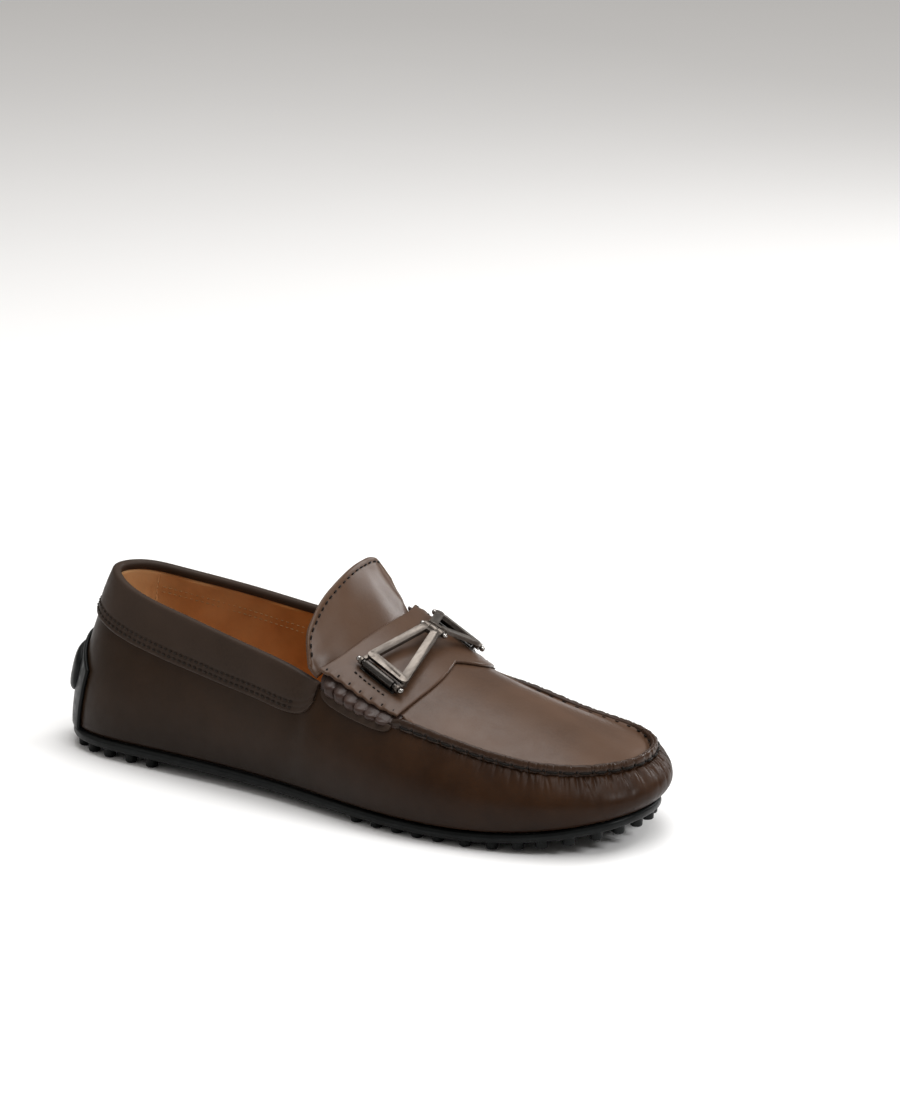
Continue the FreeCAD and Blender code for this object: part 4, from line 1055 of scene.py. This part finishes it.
def build_strap():
    a = steps(52, 38.0, 0.75)
    x_edge = STRAP_SIDE_REAR_X + (STRAP_SIDE_FRONT_X - STRAP_SIDE_REAR_X) * a
    left = strap_edge(x_edge, True)
    right = strap_edge(x_edge, False)
    y_left, y_right = left[-1, 1], right[-1, 1]
    front_lateral = Curve([(y_left, STRAP_SIDE_FRONT_X)] + STRAP_FRONT_LATERAL + [STRAP_APEX])
    front_medial = Curve([STRAP_APEX] + STRAP_FRONT_MEDIAL + [(y_right, STRAP_SIDE_FRONT_X)])
    notch = (STRAP_APEX[0] - y_left) / (y_right - y_left)
    share = steps(96, 76.0, 0.75)
    share[np.argmin(np.abs(share - notch))] = notch
    y = left[:, None, 1] + (right - left)[:, None, 1] * share[None, :]
    ahead = np.where(y < STRAP_APEX[0], front_lateral(y), front_medial(y))
    behind = strap_rear(y)
    x = behind + (ahead - behind) * a[:, None]
    z = crown(x, y) + GAP + STRAP_T
    edge_left = np.abs(y - left[:, None, 1])
    edge_right = np.abs(right[:, None, 1] - y)
    near = bell(np.minimum(edge_left, edge_right) / 2.8)
    near = near * smooth((x - 151) / 2) * smooth((187 - x) / 3)
    z = z + near * (0.75 * scallop(x) ** 0.7 - 0.65)
    z = z + 0.06 * np.sin(x / 6 + y / 11) + 0.05 * np.sin(y / 5.5 - x / 17)
    for (cx, cy, turn) in BIT_ENDS:
        along = (x - cx) + turn * (y - cy)
        off = (y - cy) - turn * (x - cx)
        side = -1.0 if cy < 0 else 1.0
        slot = bell((off - side * BIT_SEAM_AWAY) / 0.5) * smooth((10.5 - np.abs(along)) / 2)
        z = z - 0.22 * slot
    grid = np.stack([x, y, z], -1)
    piece("instep_strap", sheet_mesh(grid, STRAP_T), TOP_LEATHER, replaced=["saddle_strap"])


def on_strap(p, sunk):
    """The place p, sunk mm below the strap's face."""
    return np.array([p[0], p[1], crown(p[0], p[1]) + GAP + STRAP_T - sunk])


def build_strap_threads():
    runs = []
    for lateral in (True, False):
        for k in range(7):
            x = GATHER_FIRST_X + GATHER_PITCH * (k - 0.5)
            edge = strap_edge(np.array([x]), lateral)[0]
            out = outward(TOP_RING, np.array(s_at(x, lateral)))
            top, low = on_strap(edge - out * 2.5, 0.45), on_strap(edge - out * 1.1, 0.80)
            runs.append((top, low, unit(np.array([out[0] * 0.35, out[1] * 0.35, 1.0]))))
    for cx, cy, turn in BIT_ENDS:
        side = -1.0 if cy < 0 else 1.0
        along = unit(np.array([1.0, turn, 0.0]))
        over = np.array([-along[1], along[0], 0.0]) * side
        for step in np.arange(-9.0, 9.1, 2.6):
            ends = [np.array([cx, cy, 0.0]) + along * (step + d) + over * BIT_SEAM_AWAY
                    for d in (-0.85, 0.85)]
            runs.append((*(on_strap(p, 0.28) for p in ends), np.array([0.0, 0.25 * side, 1.0])))
    piece("strap_threads", thread_mesh(runs, 0.36, 0.34), DARK_THREAD)


def build_gathers(lateral):
    """Six plump rolls of leather between the strap's edge and the wall."""
    x = np.linspace(149.8, 189.6, 270)
    s = s_at(x, lateral)
    seam = TOP_RING.at(s)
    out = outward(TOP_RING, s)
    bottom = seam[:, 2] - 0.9
    w = steps(30, 9.0, 1.2)
    phase = (x - GATHER_FIRST_X) / GATHER_PITCH
    local = 2 * (phase - np.round(phase))
    roll = np.sqrt(np.clip(1 - local ** 2, 0, 1)) * (phase > -0.5) * (phase < 5.5)
    plump = np.sin(np.pi * w) ** 0.42
    base = 0.9 + 0.9 * np.sin(np.pi * w)
    o = (base + 1.0 * (1 - w))[None, :] - 3.5 * smooth((w[None, :] - 0.62) / 0.38)
    o = o + (3.0 * roll[:, None] - 0.5) * plump[None, :]
    o = o + 0.12 * np.sin(x / 0.9)[:, None] * plump[None, :]
    rise = w[None, :] + 0.04 * np.sin(2 * np.pi * phase)[:, None] * np.sin(np.pi * w)[None, :]
    grid = seam[:, None] + out[:, None] * o[..., None]
    edge = seam[:, None] + out[:, None] * np.minimum(o, 2.0)[..., None]
    top = crown(edge[..., 0], edge[..., 1]) + 0.05
    grid[..., 2] = bottom[:, None] + (top - bottom[:, None]) * rise
    grid = grid if lateral else grid[::-1]
    end, side = SIDES[lateral]
    skin = sheet_mesh(grid, 1.3, radius=0.7)
    piece("rolls_" + end, skin, ROLL_LEATHER, replaced=["gathers_" + side])


def build_tab(lateral):
    s0, s1 = float(s_at(151.0)), float(s_at(187.5))
    u = steps(60, 36.0, 0.7)
    s = s0 + (s1 - s0) * u
    round_off = np.sqrt(np.clip(1 - np.abs(2 * u - 1) ** 6, 0, 1))
    drop = 1.2 + 2.9 * round_off
    share = steps(16, 6.0, 0.7)
    depth = drop[:, None] * (1 - share[None, :])
    s = s if lateral else 2 - s
    point, normal = wall(s[:, None], v_at(s[:, None], depth), -1.15)
    if not lateral:
        point, normal = point[::-1], normal[::-1]
    end, side = SIDES[lateral]
    skin = sheet_mesh(point, 1.2, normal, radius=0.6)
    piece("tab_" + end, skin, BAND_LEATHER, replaced=["side_tab_" + side])


# ---- tongue
def tongue_surface(y, k, depth, trim=0.0):
    """Point on the tongue: k runs from its root under the strap (negative) to its free edge (1)."""
    lean = math.radians(TONGUE_LEAN)
    root_x = strap_rear(y) - TONGUE_ROOT_GAP
    slope = -(crown(root_x, y + 0.5) - crown(root_x, y - 0.5))
    normal = unit(np.stack(np.broadcast_arrays(math.sin(lean), slope, math.cos(lean)), -1))
    root = np.stack([root_x, y, crown(154.5, y) - 0.4], -1)
    reach = np.maximum(tongue_length(y) - trim, 1.5)
    share = np.clip(k, 0, 1)
    along = np.array([-math.cos(lean), 0, math.sin(lean)])
    point = root + along * (reach * share)[..., None]
    point = point + np.array([-0.8, 0, -0.56]) * np.sin(np.pi * share)[..., None]
    point[..., 2] += 2.2 * smooth((y - 17.0) / 12.0) * smooth(reach * share / 4.5)
    corner = 2.2 * smooth((-20 - y) / 10) + 3 * smooth((y - 26.5) / 4.0)
    point[..., 0] -= corner * bell(reach * share / 4.0)
    return point - normal * depth, normal


def build_tongue():
    y0, y1 = TONGUE_LENGTH[0][0], TONGUE_LENGTH[-1][0]
    share = steps(90, 68.0, 0.75)
    t = 2 * share - 1
    t = 0.72 * t + 0.28 * np.sin(t * np.pi / 2)
    y = 0.5 * (y0 + y1) + 0.5 * (y1 - y0) * t
    k = steps(40, 28.0, 0.75)
    grid = tongue_surface(y[:, None] + 0 * k, k, 0.0)[0]
    bend = bell(k * tongue_length(y)[:, None] / 4.0)
    grid[..., 2] -= 1.45 * bend
    grid[..., 0] += 1.4 * bend
    wave = 0.12 * np.sin(y[:, None] / 6.5 + k * 2) + 0.10 * np.sin(y[:, None] / 3.9 - 5 * k)
    inside = (1 - k[None, :]) * tongue_length(y)[:, None]
    side = np.minimum(y - y0, y1 - y)[:, None]
    rim = np.minimum(inside, 1.4 * side)
    groove = 0.14 * bell((rim - 2.5) / 0.6)
    skin = sheet_mesh(grid, 1.5, relief=wave - groove)
    piece("tongue_flap_leather", skin, TOP_LEATHER, "tongue_flap", ["tongue"])

    share = steps(60, 64.0, 0.4)
    y = y0 + 1.0 + (y1 - y0 - 2.0) * share
    k = steps(24, 26.0, 0.4)
    grid = tongue_surface(y[:, None] + 0 * k, k, 1.62, 0.9)[0]
    piece("tongue_back", sheet_mesh(grid, 0.7), LINING, "tongue_flap", ["tongue_lining"])


def build_tongue_threads():
    y = np.linspace(-34.3, 30.4, 800)
    edge, normal = tongue_surface(y, np.ones_like(y), 0.0, 2.5)
    walk = np.concatenate([[0], np.cumsum(np.linalg.norm(np.diff(edge, axis=0), axis=1))])
    runs = []
    for at in np.arange(3.0, walk[-1] - 3.0, 3.7):
        ends = [np.array([np.interp(w, walk, edge[:, k]) for k in range(3)]) for w in (at, at + 2.2)]
        face = np.array([np.interp(at, walk, normal[:, k]) for k in range(3)])
        ends = [p - face * 0.25 for p in ends]
        runs.append((ends[0], ends[1], unit(face)))
    skin = thread_mesh(runs, 0.36, 0.34)
    piece("tongue_threads", skin, DARK_THREAD, "tongue_flap", ["tongue_stitches"])


# ---- metal
def bevelled(name, node, material, width):
    """The CAD node's shape with its edges broken."""
    mesh = frame["nodes"][node].data.copy()
    mesh.name = name
    work = bmesh.new()
    work.from_mesh(mesh)
    bmesh.ops.remove_doubles(work, verts=work.verts, dist=2e-6)
    bmesh.ops.dissolve_limit(work, angle_limit=math.radians(3), verts=work.verts, edges=work.edges)
    work.to_mesh(mesh)
    work.free()
    thing = placed(name, mesh)
    mesh.materials.clear()
    mesh.materials.append(material)
    soften = thing.modifiers.new("soften", "BEVEL")
    soften.width = width * MM
    soften.segments = 2
    soften.limit_method = "ANGLE"
    soften.angle_limit = math.radians(38)
    soften.harden_normals = True
    mesh.shade_smooth()
    bpy.context.view_layer.update()
    graph = bpy.context.evaluated_depsgraph_get()
    final = bpy.data.meshes.new_from_object(thing.evaluated_get(graph))
    thing.modifiers.clear()
    thing.data = final
    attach(thing, frame["nodes"][node]["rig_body"])
    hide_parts(node)


def build_metal():
    for side in ("lateral", "medial"):
        bevelled("link_" + side, "ornament_link_" + side, PLATE, 0.22)
        bevelled("keeper_" + side, "roller_keeper_" + side, GUNMETAL, 0.1)


def carry_over():
    finishes = {
        "forefoot_pebbles": RUBBER, "heel_pebbles": RUBBER, "insole_board": BOARD, "footbed_foam": FOAM,
        "heel_counter": STIFFENER, "apron_lining": LINING, "ornament_hinge_pin": PIN_METAL,
        "roller_lateral": GUNMETAL, "roller_medial": GUNMETAL, "roller_pin_lateral": PIN_METAL,
        "roller_pin_medial": PIN_METAL,
    }
    for node, material in finishes.items():
        for slot in frame["nodes"][node].material_slots:
            slot.material = material


# ---- room, light and camera
def build_stage():
    n = Nodes("pale_floor")
    n.colour(n.mix(n.remap(n.noise(3.0), 0.3, 0.7), (0.955,) * 3, (0.965,) * 3))
    n.shader.inputs["Roughness"].default_value = 0.75
    n.shader.inputs["Specular IOR Level"].default_value = 0.2
    mesh = bpy.data.meshes.new("floor")
    corners = [(6.0 * a, 6.0 * b, 0) for a, b in ((-1, -1), (1, -1), (1, 1), (-1, 1))]
    mesh.from_pydata(corners, [], [(0, 1, 2, 3)])
    mesh.materials.append(n.material)
    floor = placed("floor", mesh)

    world = bpy.data.worlds.new("studio")
    bpy.context.scene.world = world
    world.use_nodes = True
    tree = world.node_tree
    place = tree.nodes.new("ShaderNodeTexCoord")
    split = tree.nodes.new("ShaderNodeSeparateXYZ")
    tree.links.new(place.outputs["Generated"], split.inputs[0])
    rise = tree.nodes.new("ShaderNodeMapRange")
    tree.links.new(split.outputs["Z"], rise.inputs["Value"])
    for key, value in (("From Min", 0.0), ("From Max", 0.75), ("To Min", 0.05), ("To Max", 0.50)):
        rise.inputs[key].default_value = value
    tree.links.new(rise.outputs["Result"], tree.nodes["Background"].inputs["Strength"])
    tree.nodes["Background"].inputs["Color"].default_value = (1.0, 0.965, 0.925, 1.0)
    bpy.context.scene.view_settings.view_transform = "Standard"


def add_light(name, place, target, size, power):
    data = bpy.data.lights.new(name, "AREA")
    data.shape = "RECTANGLE"
    data.size, data.size_y = size
    data.energy = power
    lamp = placed(name, data)
    lamp.location = place
    lamp.rotation_euler = (Vector(target) - Vector(place)).to_track_quat("-Z", "Y").to_euler()


def build_lights():
    add_light("overhead", (0.1, 0.15, 1.5), (0.0, 0.0, 0.0), (1.6, 1.0), 20.0)
    add_light("back_box", (0.35, 1.25, 0.62), (0.0, 0.0, 0.07), (0.55, 0.32), 5.0)
    add_light("toe_box", (1.25, 0.10, 0.90), (0.12, 0.0, 0.02), (0.32, 0.42), 8.0)
    add_light("left_fill", (-1.2, -0.9, 0.8), (-0.05, 0.0, 0.04), (0.9, 0.9), 1.5)


def build_camera():
    right = Vector((0.84768, 0.53051, 0.0))
    upward = Vector((-0.14292, 0.22836, 0.96303))
    back = Vector((0.51089, -0.81634, 0.26939))
    data = bpy.data.cameras.new("camera")
    data.sensor_fit = "VERTICAL"
    data.sensor_height = 36.0
    data.lens = 3962.8 / 1100 * 36.0
    camera = placed("camera", data)
    turn = Matrix((right, upward, back)).transposed().to_4x4()
    camera.matrix_world = Matrix.Translation((0.86258, -1.30643, 0.53922)) @ turn
    bpy.context.scene.camera = camera


build_camera()
build_stage()
build_lights()
build_wall()
build_collar()
build_collar_threads()
build_linings()
build_footbed()
build_outsole()
build_studs("fore_studs", "forefoot_pebbles")
build_studs("heel_studs", "heel_pebbles")
build_heel_rubber()
build_apron()
build_ridge()
build_seam_threads()
build_strap()
build_strap_threads()
for is_lateral in (True, False):
    build_gathers(is_lateral)
    build_tab(is_lateral)
build_tongue()
build_tongue_threads()
build_metal()
carry_over()
